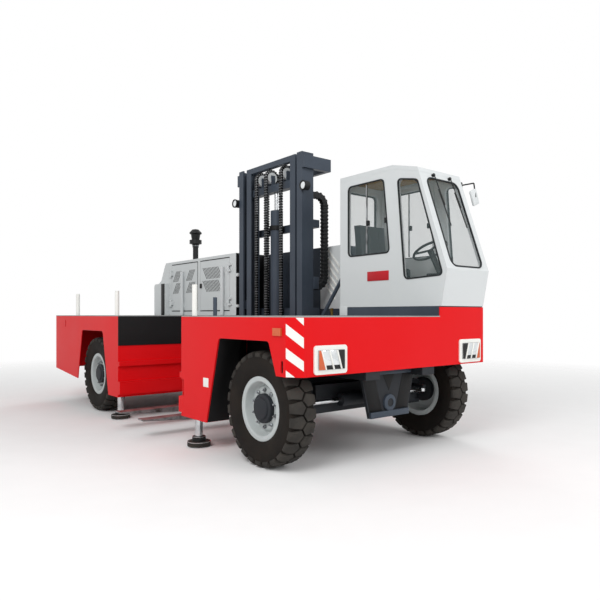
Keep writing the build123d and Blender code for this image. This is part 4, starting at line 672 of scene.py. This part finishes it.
# Field, start and end from the lamp's outer end, finish, depth
FIELDS = [("amber", 0.000, 0.040, AMBER, 0.010), ("bar_a", 0.040, 0.054, WHITE, 0.014),
          ("lens_a", 0.054, 0.128, SILVER, 0.008), ("bar_b", 0.128, 0.142, WHITE, 0.014),
          ("lens_b", 0.142, 0.216, SILVER, 0.008), ("bar_c", 0.216, 0.230, WHITE, 0.014),
          ("dark_end", 0.230, LAMP_WIDTH, PLASTIC, 0.006)]


def lamp_field(outer_y, inward, start, end, low, high, depth):
    """Slanted field of a headlamp between two heights, straight at the lamp's own ends."""
    def across(place, z):
        lean = LAMP_SLANT * (0.5 - (z - LAMP_LOW_Z) / (LAMP_HIGH_Z - LAMP_LOW_Z))
        return outer_y + inward * (place if place in (0, LAMP_WIDTH) else place + lean)
    corners = ((start, low), (end, low), (end, high), (start, high))
    return plate([(LAMP_FACE_X, across(place, z), z) for place, z in corners], (depth, 0, 0), 0.002)


for lamp, outer_y, inward in (("near_headlamp", -1.064, 1), ("far_headlamp", 1.199, -1)):
    for name, start, end, finish, depth in FIELDS:
        shaded = name.startswith("lens")
        low = LAMP_SHADE_Z if shaded else LAMP_LOW_Z
        field = lamp_field(outer_y, inward, start, end, low, LAMP_HIGH_Z, depth)
        fitted(field, f"{lamp}_{name}", finish)
        if shaded:
            shade = lamp_field(outer_y, inward, start, end, LAMP_LOW_Z, LAMP_SHADE_Z, depth - SHADE_SINK)
            fitted(shade, f"{lamp}_{name}_shade", PLASTIC)

# %% [markdown]
# ## Windows
# Each pane sits in a black rubber seal that laps over the sheet. A seal is the opening's outline
# with rounded corners, widened outwards and inwards to a strip, and pushed out a little from the
# wall.

# %% Window seals
LOAD_Y, FAR_Y, BACK_X = 0.583, 1.304, 1.628
SEAL_OUT, SEAL_IN, SEAL_HIGH, SEAL_SINK, SEAL_CORNER = 0.028, 0.016, 0.018, 0.010, 0.060
# Outlines in X and Z
LOAD_REAR = [(1.763, 2.888), (2.342, 2.888), (2.431, 2.05), (1.763, 2.05)]
LOAD_FRONT = [(2.533, 2.855), (2.820, 2.800), (3.153, 1.768), (2.632, 1.745)]
FAR_FRONT = [(2.645, 2.834), (2.820, 2.800), (3.153, 1.768), (2.735, 1.750)]
DOOR_WINDOW = [(1.785, 2.86), (2.425, 2.86), (2.485, 2.05), (1.785, 2.05)]
# Outline in Y and Z
BACK_WINDOW = [(0.698, 2.05), (1.189, 2.05), (1.189, 2.86), (0.698, 2.86)]
# Seal, outline, Y of the wall, outward direction, body
SIDE_SEALS = [("load_rear_seal", LOAD_REAR, LOAD_Y, -1, "chassis"),
              ("load_front_seal", LOAD_FRONT, LOAD_Y, -1, "chassis"),
              ("far_front_seal", FAR_FRONT, FAR_Y, 1, "chassis"),
              ("door_window_seal", DOOR_WINDOW, FAR_Y, 1, "cab_door")]
for name, outline, wall, out, body in SIDE_SEALS:
    spots = [(x, wall - out * SEAL_SINK, z) for x, z in outline]
    fitted(frame_strip(spots, (0, out * SEAL_HIGH, 0), SEAL_CORNER, SEAL_OUT, SEAL_IN), name, SEAL, body)
spots = [(BACK_X + SEAL_SINK, y, z) for y, z in BACK_WINDOW]
fitted(frame_strip(spots, (-SEAL_HIGH, 0, 0), SEAL_CORNER, SEAL_OUT, SEAL_IN), "back_window_seal", SEAL)

# %% [markdown]
# The windscreen's seal is slimmer and its corners are rounder than the opening in the sheet, so a
# small pale gusset fills each corner behind it.

# %% Windscreen seal and gussets
SCREEN_FOOT_X, SCREEN_FOOT_Z, SCREEN_LEAN = 3.195, 1.837, 0.34926
SCREEN_OUT = Vector((1, 0, SCREEN_LEAN)).normalized()
SCREEN_CORNER, SCREEN_SEAL_OUT, SCREEN_SEAL_IN = 0.090, 0.004, 0.016
NEAR_Y, FAR_SCREEN_Y, SCREEN_LOW_Z, SCREEN_HIGH_Z = 0.668, 1.219, 1.86, 2.83
GUSSET_REACH, GUSSET_THICK = 0.030, 0.006


def on_screen(y, z, out=0.0):
    """Point of the leaning windscreen, a little in front of it."""
    return Vector((SCREEN_FOOT_X - SCREEN_LEAN * (z - SCREEN_FOOT_Z), y, z)) + SCREEN_OUT * out


spots = [on_screen(y, z, -SEAL_SINK) for y, z in ((NEAR_Y, SCREEN_LOW_Z), (FAR_SCREEN_Y, SCREEN_LOW_Z),
                                                  (FAR_SCREEN_Y, SCREEN_HIGH_Z), (NEAR_Y, SCREEN_HIGH_Z))]
strip = frame_strip(spots, SCREEN_OUT * SEAL_HIGH, SCREEN_CORNER, SCREEN_SEAL_OUT, SCREEN_SEAL_IN)
fitted(strip, "windscreen_seal", SEAL)
GUSSET = ((0, 0), (SCREEN_CORNER, 0), (GUSSET_REACH, GUSSET_REACH), (0, SCREEN_CORNER))
gussets = []
for y, side in ((NEAR_Y, 1), (FAR_SCREEN_Y, -1)):
    for z, up in ((SCREEN_LOW_Z, 1), (SCREEN_HIGH_Z, -1)):
        spots = [on_screen(y + side * across, z + up * rise, -GUSSET_THICK) for across, rise in GUSSET]
        gussets.append(plate(spots, SCREEN_OUT * GUSSET_THICK, THIN_EDGE))
fitted(joined(gussets), "windscreen_gussets", PALE)

# %% [markdown]
# The side windows slide, so a slim upright bar with a latch stands in the middle of them. Two
# wipers hang from the top of the windscreen: a round pivot, a thin arm and a blade that lies along
# the glass.

# %% Sliding bars and wipers
SLIDER_HALF_X, SLIDER_HALF_Y, SLIDER_LOW_Z = 0.006, 0.009, 2.075
LATCH_HALF_X, LATCH_HALF_Y, LATCH_LOW_Z, LATCH_HIGH_Z = 0.018, 0.016, 2.390, 2.450
LATCH_SHIFT = {"latch": 0.02, "catch": 0.30}
# Bar, X, Y, upper end, body
SLIDERS = [("load_slider", 2.060, 0.598, 2.865, "chassis"), ("door_slider", 2.100, 1.289, 2.838, "cab_door")]
for name, x, y, high, body in SLIDERS:
    fitted(bar((x - SLIDER_HALF_X, y - SLIDER_HALF_Y, SLIDER_LOW_Z),
               (x + SLIDER_HALF_X, y + SLIDER_HALF_Y, high), 0.002), name, ZINC, body)
    for part, shift in LATCH_SHIFT.items():
        fitted(bar((x + shift - LATCH_HALF_X, y - LATCH_HALF_Y, LATCH_LOW_Z),
                   (x + shift + LATCH_HALF_X, y + LATCH_HALF_Y, LATCH_HIGH_Z), 0.005),
               f"{name}_{part}", PLASTIC, body)
WIPER_LEAN, WIPER_TOP_Z, ARM_END_Z = 0.035, 2.855, 2.520
BLADE_TOP_Z, BLADE_END_Z, BLADE_OUT = 2.700, 2.300, 0.013
for name, y in (("near_wiper", 0.800), ("far_wiper", 1.080)):
    pivot = rod(on_screen(y, WIPER_TOP_Z, -0.004), on_screen(y, WIPER_TOP_Z, 0.030), 0.018, 0.004)
    arm = rod(on_screen(y, WIPER_TOP_Z, 0.024), on_screen(y + WIPER_LEAN, ARM_END_Z, 0.022), 0.006, 0.001, 10)
    blade = rod(on_screen(y + WIPER_LEAN * 0.5, BLADE_TOP_Z, BLADE_OUT),
                on_screen(y + WIPER_LEAN * 1.4, BLADE_END_Z, BLADE_OUT), 0.007, 0.002, 8)
    fitted(joined([pivot, arm, blade]), name, PLASTIC)

# %% [markdown]
# ## Signs, stripes and small trim
# The cut corner of the nose carries white slanted stripes, painted on, so each is a thin plate on
# that face. The load side has a white reflector and the cab wall a plain red plate, both left
# blank.

# %% Stripes on the cut corner
CORNER_START, CORNER_END = Vector((3.005, -1.304, 0)), Vector((3.125, -1.206, 0))
CORNER_WIDTH = (CORNER_END - CORNER_START).length
CORNER_OUT = Vector((CORNER_END.y - CORNER_START.y, CORNER_START.x - CORNER_END.x, 0)) / CORNER_WIDTH
STRIPE_SINK, STRIPE_THICK = 0.002, 0.0035
# Distance along the corner and height
STRIPES = [[(0.084, 1.347), (0.154, 1.347), (0.154, 1.282)],
           [(0.003, 1.298), (0.154, 1.183), (0.154, 1.095), (0.003, 1.209)],
           [(0.003, 1.100), (0.154, 0.991), (0.154, 0.908), (0.003, 1.012)],
           [(0.003, 0.915), (0.080, 0.859), (0.003, 0.859)]]
for number, outline in enumerate(STRIPES, 1):
    spots = [CORNER_START.lerp(CORNER_END, along / CORNER_WIDTH) + Vector((0, 0, z))
             - CORNER_OUT * STRIPE_SINK for along, z in outline]
    stripe = plate(spots, CORNER_OUT * STRIPE_THICK, 0.0006, segments=1)
    fitted(stripe, f"corner_stripe_{number}", WHITE)

# %% Reflector, sign and post
fitted(bar((1.662, -1.309, 0.655), (1.760, -1.300, 0.745), 0.002), "leg_reflector", WHITE)
fitted(bar((2.086, 0.577, 1.753), (2.413, 0.586, 1.860), 0.002), "wall_sign", SIGN)
fitted(bar((1.622, 0.577, 1.361), (1.752, 0.640, 1.470), 0.002), "cab_rear_post", PALE)

# %% [markdown]
# The jacks end in a black cup on a brown steel foot. Cup and foot are turned a hair larger than the
# solid that they cover, and ride on the jack.

# %% Jack feet
# Radius and height
CUP = [(0.0405, 0.107), (0.064, 0.107), (0.0705, 0.100), (0.0705, 0.055), (0.0405, 0.055), (0.0405, 0.107)]
FOOT = [(0.0, 0.057), (0.113, 0.057), (0.1215, 0.049), (0.1215, 0.012), (0.117, 0.008), (0.0, 0.008)]
JACK_X, JACK_Y = {"front_jack": 1.385, "rear_jack": -0.7145}, -1.2
for name, x in JACK_X.items():
    fitted(turned(CUP, (x, JACK_Y, 0), UP, 40), name + "_cup", PLASTIC, name)
    fitted(turned(FOOT, (x, JACK_Y, 0), UP, 48), name + "_foot", CAST, name)

# %% [markdown]
# ## Mirror, headlining and mast trim
# The mirror hangs tilted on a bent black tube, so the tube is a few rods end to end and the head is
# a bar turned about its own middle. Brown felt lines the cab's roof. A clamp band holds the lift
# barrel, a louvred grey panel with leaning slats closes the housing behind the mast, and a round
# stay leans against the back of the cab.

# %% Mirror on its arm
ARM_SPOTS = [(2.790, 1.302, 2.855), (2.800, 1.375, 2.868), (2.800, 1.375, 2.790), (2.790, 1.302, 2.780)]
HEAD_SPOTS = [(2.800, 1.375, 2.840), (2.925, 1.425, 2.850), (2.945, 1.432, 2.690)]
TUBE_RADIUS, HEAD_MIDDLE, HEAD_TILT = 0.008, (2.930, 1.425, 2.690), radians(24)
tubes = [rod(start, end, TUBE_RADIUS, 0.002, 12) for spots in (ARM_SPOTS, HEAD_SPOTS)
         for start, end in zip(spots, spots[1:])]
fitted(joined(tubes), "mirror_arm", PLASTIC, replaced=["mirror"])
head = bar((2.918, 1.370, 2.602), (2.946, 1.480, 2.778), 0.011, 3)
glass = bar((2.914, 1.378, 2.610), (2.920, 1.472, 2.770), 0.002)
for piece, name, finish in ((head, "mirror_head", PALE), (glass, "mirror_glass", SILVER)):
    fitted(moved(piece, turn=HEAD_TILT, axis="X", about=HEAD_MIDDLE), name, finish)

# %% Headlining and floor mat
LINING_Y, LINING_WIDTH = 0.630, 0.627
# Section of the lining under the sloped roof, in X and Z
SLOPE = [(2.464, 2.956), (2.790, 2.872), (2.787, 2.860), (2.463, 2.943)]
flat_lining = bar((1.675, LINING_Y, 2.944), (2.468, LINING_Y + LINING_WIDTH, 2.957), 0.003)
slope_lining = plate([(x, LINING_Y, z) for x, z in SLOPE], (0, LINING_WIDTH, 0))
fitted(joined([flat_lining, slope_lining]), "cab_headlining", FELT)
fitted(bar((1.680, 0.632, 1.458), (2.505, 1.255, 1.470), 0.003), "cab_floor_mat", MAT)

# %% Clamp band, louvred panel, fittings and stay
# Radius and height
BAND = [(0.085, -0.032), (0.099, -0.030), (0.101, 0.0), (0.099, 0.030), (0.085, 0.032), (0.085, -0.032)]
fitted(turned(BAND, (0.323, 0.600, 2.56), UP, 48), "barrel_clamp", BLACK, "outer_mast")
fitted(bar((0.780, 1.001, 1.450), (1.190, 1.012, 2.283), 0.003), "far_louvre_panel", PALE)
SLATS, SLAT_STEP, SLAT_Y, SLAT_HIGH = 6, (0.018, 0, 0.085), 1.002, 0.014
# First slat in X and Z
SLAT = [(0.850, 1.800), (1.080, 1.560), (1.080, 1.594), (0.850, 1.834)]
slat = plate([(x, SLAT_Y, z) for x, z in SLAT], (0, -SLAT_HIGH, 0), 0.003)
fitted(in_a_row(slat, SLAT_STEP, SLATS), "far_louvre_slats", WHITE)
DECK_Z, PIPE_RADIUS, CAP_RADIUS, CAP_HIGH = 1.358, 0.014, 0.020, 0.026
# X, Y, top of the pipe, foot of its cap
PIPES = [(1.225, 0.800, 1.420, 1.415), (1.262, 0.770, 1.400, 1.396), (1.300, 0.745, 1.430, 1.426)]
pipes = [rod((x, y, DECK_Z), (x, y, top), PIPE_RADIUS, 0.003, 12) for x, y, top, _ in PIPES]
caps = [rod((x, y, foot), (x, y, foot + CAP_HIGH), CAP_RADIUS, 0.004, 6) for x, y, _, foot in PIPES]
fitted(joined(pipes + caps), "deck_pipe_fittings", BRASS)
fitted(rod((1.225, 0.660, 1.364), (1.632, 0.660, 1.880), 0.024, 0.003), "cab_stay", SLATE)

# %% [markdown]
# ## Hood trim
# The hood's doors have black rubber in their gaps, and a black plate of painted shade lies on the face
# towards the mast. Black strips of painted shade lie in the slits of the doors, with a black plate of painted
# shade behind them; both ride on the doors, so the doors still open. The side box has a black strip, and the
# intake on the hood has two bright rings.

# %% Hood doors
SLIT_WIDTH, SLIT_PITCH, SLIT_LEAN, SLIT_Y, SLIT_THICK = 0.016, 0.042, 0.130, 0.508, 0.0095
SLIT_ROWS = ((1.735, 1.915), (1.940, 2.120))
GAP_Z, GAP_HIGH = (1.424, 2.233), 0.013
# X of the door's ends, inset of its black plate, way that its slits lean, X spans of the slits
HOOD_DOORS = {"hood_rear_door": (-2.632, -1.727, 0.020, 1, ((-2.605, -2.270), (-2.125, -1.790))),
              "hood_front_door": (-1.625, -0.739, 0.055, -1, ((-1.554, -0.943),))}
for door, (low, high, inset, way, spans) in HOOD_DOORS.items():
    # The black plate behind the slits and the black strips in them are painted shade
    slit_shade_backing = bar((low + inset, 0.5405, 1.722), (high - inset * 1.2, 0.5455, 2.134), 0.001)
    fitted(slit_shade_backing, door + "_backing", BLACK, door)
    slit_painted_shade, half, lean = [], SLIT_WIDTH / 2, way * SLIT_LEAN / 2
    for start, end in spans:
        count = int((end - start - SLIT_LEAN - SLIT_WIDTH) / SLIT_PITCH) + 1
        first = (start + end - (count - 1) * SLIT_PITCH) / 2
        foot, head = first - lean, first + lean
        for bottom, top in SLIT_ROWS:
            corners = ((foot - half, bottom), (foot + half, bottom), (head + half, top), (head - half, top))
            slit = plate([(x, SLIT_Y, z) for x, z in corners], (0, -SLIT_THICK, 0), 0.0006, segments=1)
            slit_painted_shade.append(in_a_row(slit, (SLIT_PITCH, 0, 0), count))
    fitted(joined(slit_painted_shade), door + "_slits", BLACK, door)
    gaps = [bar((low, 0.4975, z), (high, 0.502, z + GAP_HIGH), 0.001) for z in GAP_Z]
    fitted(joined(gaps), door + "_gap_rubber", SEAL)

# %% Hood trim, side box and intake
# The black plate on the hood's face towards the mast is painted shade
HOOD_TRIM = [("hood_pillar_rubber", (-1.722, 0.4975, 1.440), (-1.710, 0.502, 2.246), SEAL, "chassis"),
             ("hood_latch", (-1.612, 0.476, 1.800), (-1.578, 0.502, 1.872), PLASTIC, "hood_front_door"),
             ("hood_mast_painted_shade", (-0.560, 0.502, 1.362), (-0.552, 1.290, 2.286), BLACK, "chassis"),
             ("hood_upper_bracket", (-0.556, 0.490, 1.940), (-0.500, 0.535, 1.985), PALE, "chassis"),
             ("hood_lower_bracket", (-0.556, 0.490, 1.480), (-0.500, 0.535, 1.520), PALE, "chassis"),
             ("side_box_strip", (-2.872, 0.4050, 1.362), (-2.742, 0.412, 1.918), BLACK, "chassis")]
for name, low, high, finish, body in HOOD_TRIM:
    fitted(bar(low, high, 0.0015), name, finish, body)
INTAKE_X, INTAKE_Y = -2.150, 0.700
# Radius beyond the ring's own and height
RING = [(-0.020, -0.009), (0.0, -0.008), (0.003, 0.0), (0.0, 0.008), (-0.020, 0.009), (-0.020, -0.009)]
for name, radius, z in (("intake_low_ring", 0.055, 2.552), ("intake_high_ring", 0.084, 2.769)):
    ring = turned([(radius + more, rise) for more, rise in RING], (INTAKE_X, INTAKE_Y, z), UP, 40)
    fitted(ring, name, ZINC)

# %% [markdown]
# ## Underneath
# Seen through the wheel arches the truck is dark with shadow. Thin black plates of painted shade lie on the
# arches' lids and slanted walls and on the wall of the well. The front hanger carries a casting with a round
# boss between a flange and a lower bar; black plates of painted shade at its sides and in its throat set it
# off.

# %% Painted shade in the arches
LOAD_SHADE_Y, SLANT_WIDTH, LID_WIDTH = -1.290, 0.245, 0.740
LID_LOW_Z, LID_HIGH_Z = 1.1425, 1.1458
# Foot and head of the slanted wall in X and Z, thickness along X, X of the lids, X of the well wall
ARCHES = {"front": ((1.7175, 0.304), (1.9505, 1.144), 0.003, (1.952, 2.762), (1.2055, 1.2085)),
          "rear": ((-0.8825, 0.304), (-1.0905, 1.144), -0.003, (-1.914, -1.092), (-0.5655, -0.5625))}
for end, ((foot_x, foot_z), (head_x, head_z), thick, lid_x, well_x) in ARCHES.items():
    section = ((foot_x, foot_z), (head_x, head_z), (head_x + thick, head_z), (foot_x + thick, foot_z))
    slant = plate([(x, LOAD_SHADE_Y, z) for x, z in section], (0, SLANT_WIDTH, 0), THIN_EDGE)
    lids = [bar((lid_x[0], y, LID_LOW_Z), (lid_x[1], y + LID_WIDTH, LID_HIGH_Z), THIN_EDGE)
            for y in (LOAD_SHADE_Y, 0.550)]
    walls = [bar((well_x[0], -1.040, 0.306), (well_x[1], 1.288, 0.776), THIN_EDGE),
             bar((well_x[0], -1.040, 0.770), (well_x[1], -0.485, 1.140), THIN_EDGE)]
    # Black plates that stand for the shade inside the arches and the well: painted shade
    fitted(joined([slant] + lids + walls), end + "_arch_painted_shade", BLACK)

# %% Front hanger casting
HANGER_X, PLATE_THICK = 2.9445, 0.003
# Outlines in Y and Z
CHEEK = [(0.352, 0.850), (0.215, 0.850), (0.095, 0.452), (0.262, 0.452), (0.352, 0.765)]
THROAT = [(-0.085, 0.800), (0.085, 0.800), (0.0, 0.640)]
# Black plates of painted shade beside the casting and in its throat
HANGER_SHADE_PLATES = {"hanger_near_cheek_painted_shade": [(-y, z) for y, z in CHEEK], "hanger_far_cheek_painted_shade": CHEEK,
          "hanger_throat_painted_shade": THROAT}
for name, outline in HANGER_SHADE_PLATES.items():
    fitted(plate([(HANGER_X, y, z) for y, z in outline], (PLATE_THICK, 0, 0), 0.0008), name, BLACK)
# Radius and distance out of the hanger
BOSS = [(0.041, -0.002), (0.082, -0.002), (0.078, 0.020), (0.066, 0.026), (0.041, 0.026), (0.041, -0.002)]
boss = turned(BOSS, (HANGER_X, 0, AXLE_Z), (1, 0, 0), 40)
flange = bar((HANGER_X - 0.002, -0.352, 0.800), (HANGER_X + 0.030, 0.352, 0.838), 0.004)
lower_bar = bar((HANGER_X - 0.002, -0.268, 0.392), (HANGER_X + 0.028, 0.268, 0.450), 0.005)
fitted(joined([boss, flange, lower_bar]), "hanger_casting", SLATE)

# %% [markdown]
# ## Seat
# The seat is foam under vinyl, crowned between its seams. A copy of the solid is shrunk a little,
# remeshed into even squares and blown up by a cloth simulation with a little pressure; how far a
# point may move is capped. Two sewn channels are then pressed in, and one subdivision smooths the
# skin.

# %% Padded seat
SEAT_SHRINK, SEAT_VOXEL, SEAT_CAP = 0.007, 0.008, 0.012
SEAT_PRESSURE, SEAT_FRAMES = 4, 20
SEAM_Y, SEAM_DEPTH, SEAM_HALF = (0.8685, 1.0185), 0.007, 0.010
seat_pad = bpy.data.objects.new("seat_pad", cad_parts["seat"].data.copy())
bpy.context.scene.collection.objects.link(seat_pad)
only(seat_pad)
edit_all()
bpy.ops.mesh.remove_doubles(threshold=0.0001)
bpy.ops.transform.shrink_fatten(value=-SEAT_SHRINK)
bpy.ops.object.mode_set(mode="OBJECT")
seat_pad.data.remesh_voxel_size = SEAT_VOXEL
bpy.ops.object.voxel_remesh()
before = [point.co.copy() for point in seat_pad.data.vertices]
cloth = seat_pad.modifiers.new("stuffing", "CLOTH")
cloth.settings.use_pressure = True
cloth.settings.uniform_pressure_force = SEAT_PRESSURE
cloth.settings.effector_weights.gravity = 0
cloth.point_cache.frame_end = SEAT_FRAMES
for number in range(1, SEAT_FRAMES + 1):
    bpy.context.scene.frame_set(number)
bpy.ops.object.modifier_apply(modifier="stuffing")
bpy.context.scene.frame_set(1)
# All normals are read before a point moves, because a move makes Blender work all of them out again
outwards = [point.normal.copy() for point in seat_pad.data.vertices]
for point, start, outward in zip(seat_pad.data.vertices, before, outwards):
    step = point.co - start
    if step.length > SEAT_CAP:
        step *= SEAT_CAP / step.length
    press = max(1 - abs(start.y - seam) / SEAM_HALF for seam in SEAM_Y)
    point.co = start + step - outward * SEAM_DEPTH * max(press, 0)
smoothing = seat_pad.modifiers.new("skin", "SUBSURF")
smoothing.levels = smoothing.render_levels = 1
bpy.ops.object.modifier_apply(modifier="skin")
bpy.ops.object.shade_smooth()
fitted(seat_pad, "seat_pad", VINYL, replaced=["seat"])

# %% [markdown]
# ## Studio
# The floor is a pale disc whose edge fades out, and the world is white where the camera, a
# reflection or a window sees it, so there is no horizon. Light that falls on the truck comes from a
# softer world and three large lamps.

# %% Floor
FLOOR_RADIUS, FADE_START, FADE_END = 16, 4.0, 12.0
deselect()
bpy.ops.mesh.primitive_circle_add(vertices=96, radius=FLOOR_RADIUS, fill_type="NGON", location=(0, 0, 0))
floor = bpy.context.object
floor.name = "studio_floor"
# Matt pale paint with a faint grit, gone towards the disc's edge
floor_finish = bpy.data.materials.new("pale_studio_floor")
floor_finish.use_nodes = True
tree = floor_finish.node_tree
spot = add(tree, "ShaderNodeTexCoord").outputs["Object"]
reach = add(tree, "ShaderNodeVectorMath", {"operation": "LENGTH"}, {0: spot})
fade = ranged(tree, reach.outputs["Value"], 0, 1, FADE_START, FADE_END)
shade = ranged(tree, noise(tree, spot, 3.0, 4), 0.90, 0.94)
matt = add(tree, "ShaderNodeBsdfDiffuse", None, {"Color": shade})
gone = add(tree, "ShaderNodeBsdfTransparent")
mixed = add(tree, "ShaderNodeMixShader", None, {0: fade, 1: matt.outputs["BSDF"], 2: gone.outputs["BSDF"]})
tree.links.new(mixed.outputs["Shader"], tree.nodes["Material Output"].inputs["Surface"])
floor.data.materials.append(floor_finish)

# %% World and lamps
SOFT_LIGHT, SEEN_LIGHT = 0.55, 1.0
world = bpy.data.worlds.new("studio")
bpy.context.scene.world = world
world.use_nodes = True
tree = world.node_tree
rays = add(tree, "ShaderNodeLightPath").outputs
seen = rays["Is Camera Ray"]
for kind in ("Is Glossy Ray", "Is Transmission Ray"):
    seen = add(tree, "ShaderNodeMath", {"operation": "MAXIMUM"}, {0: seen, 1: rays[kind]}).outputs["Value"]
level = ranged(tree, seen, SOFT_LIGHT, SEEN_LIGHT)
tree.links.new(level, tree.nodes["Background"].inputs["Strength"])
tree.nodes["Background"].inputs["Color"].default_value = (1, 1, 1, 1)

LAMP_SIZE, LAMP_TARGET = 5.0, Vector((0, 0, 1.3))
# Place and power
LAMPS = {"key": ((5.5, -7.5, 7.5), 520), "front": ((10.0, 2.0, 5.0), 270), "back": ((-7.0, 7.0, 7.0), 260)}
for name, (place, power) in LAMPS.items():
    light = bpy.data.lights.new(name, "AREA")
    light.energy, light.size = power, LAMP_SIZE
    lamp = bpy.data.objects.new(name, light)
    bpy.context.scene.collection.objects.link(lamp)
    lamp.location = place
    lamp.rotation_euler = (LAMP_TARGET - Vector(place)).to_track_quat("-Z", "Y").to_euler()
print("lamps:", list(LAMPS))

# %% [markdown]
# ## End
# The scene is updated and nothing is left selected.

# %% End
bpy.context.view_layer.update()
deselect()
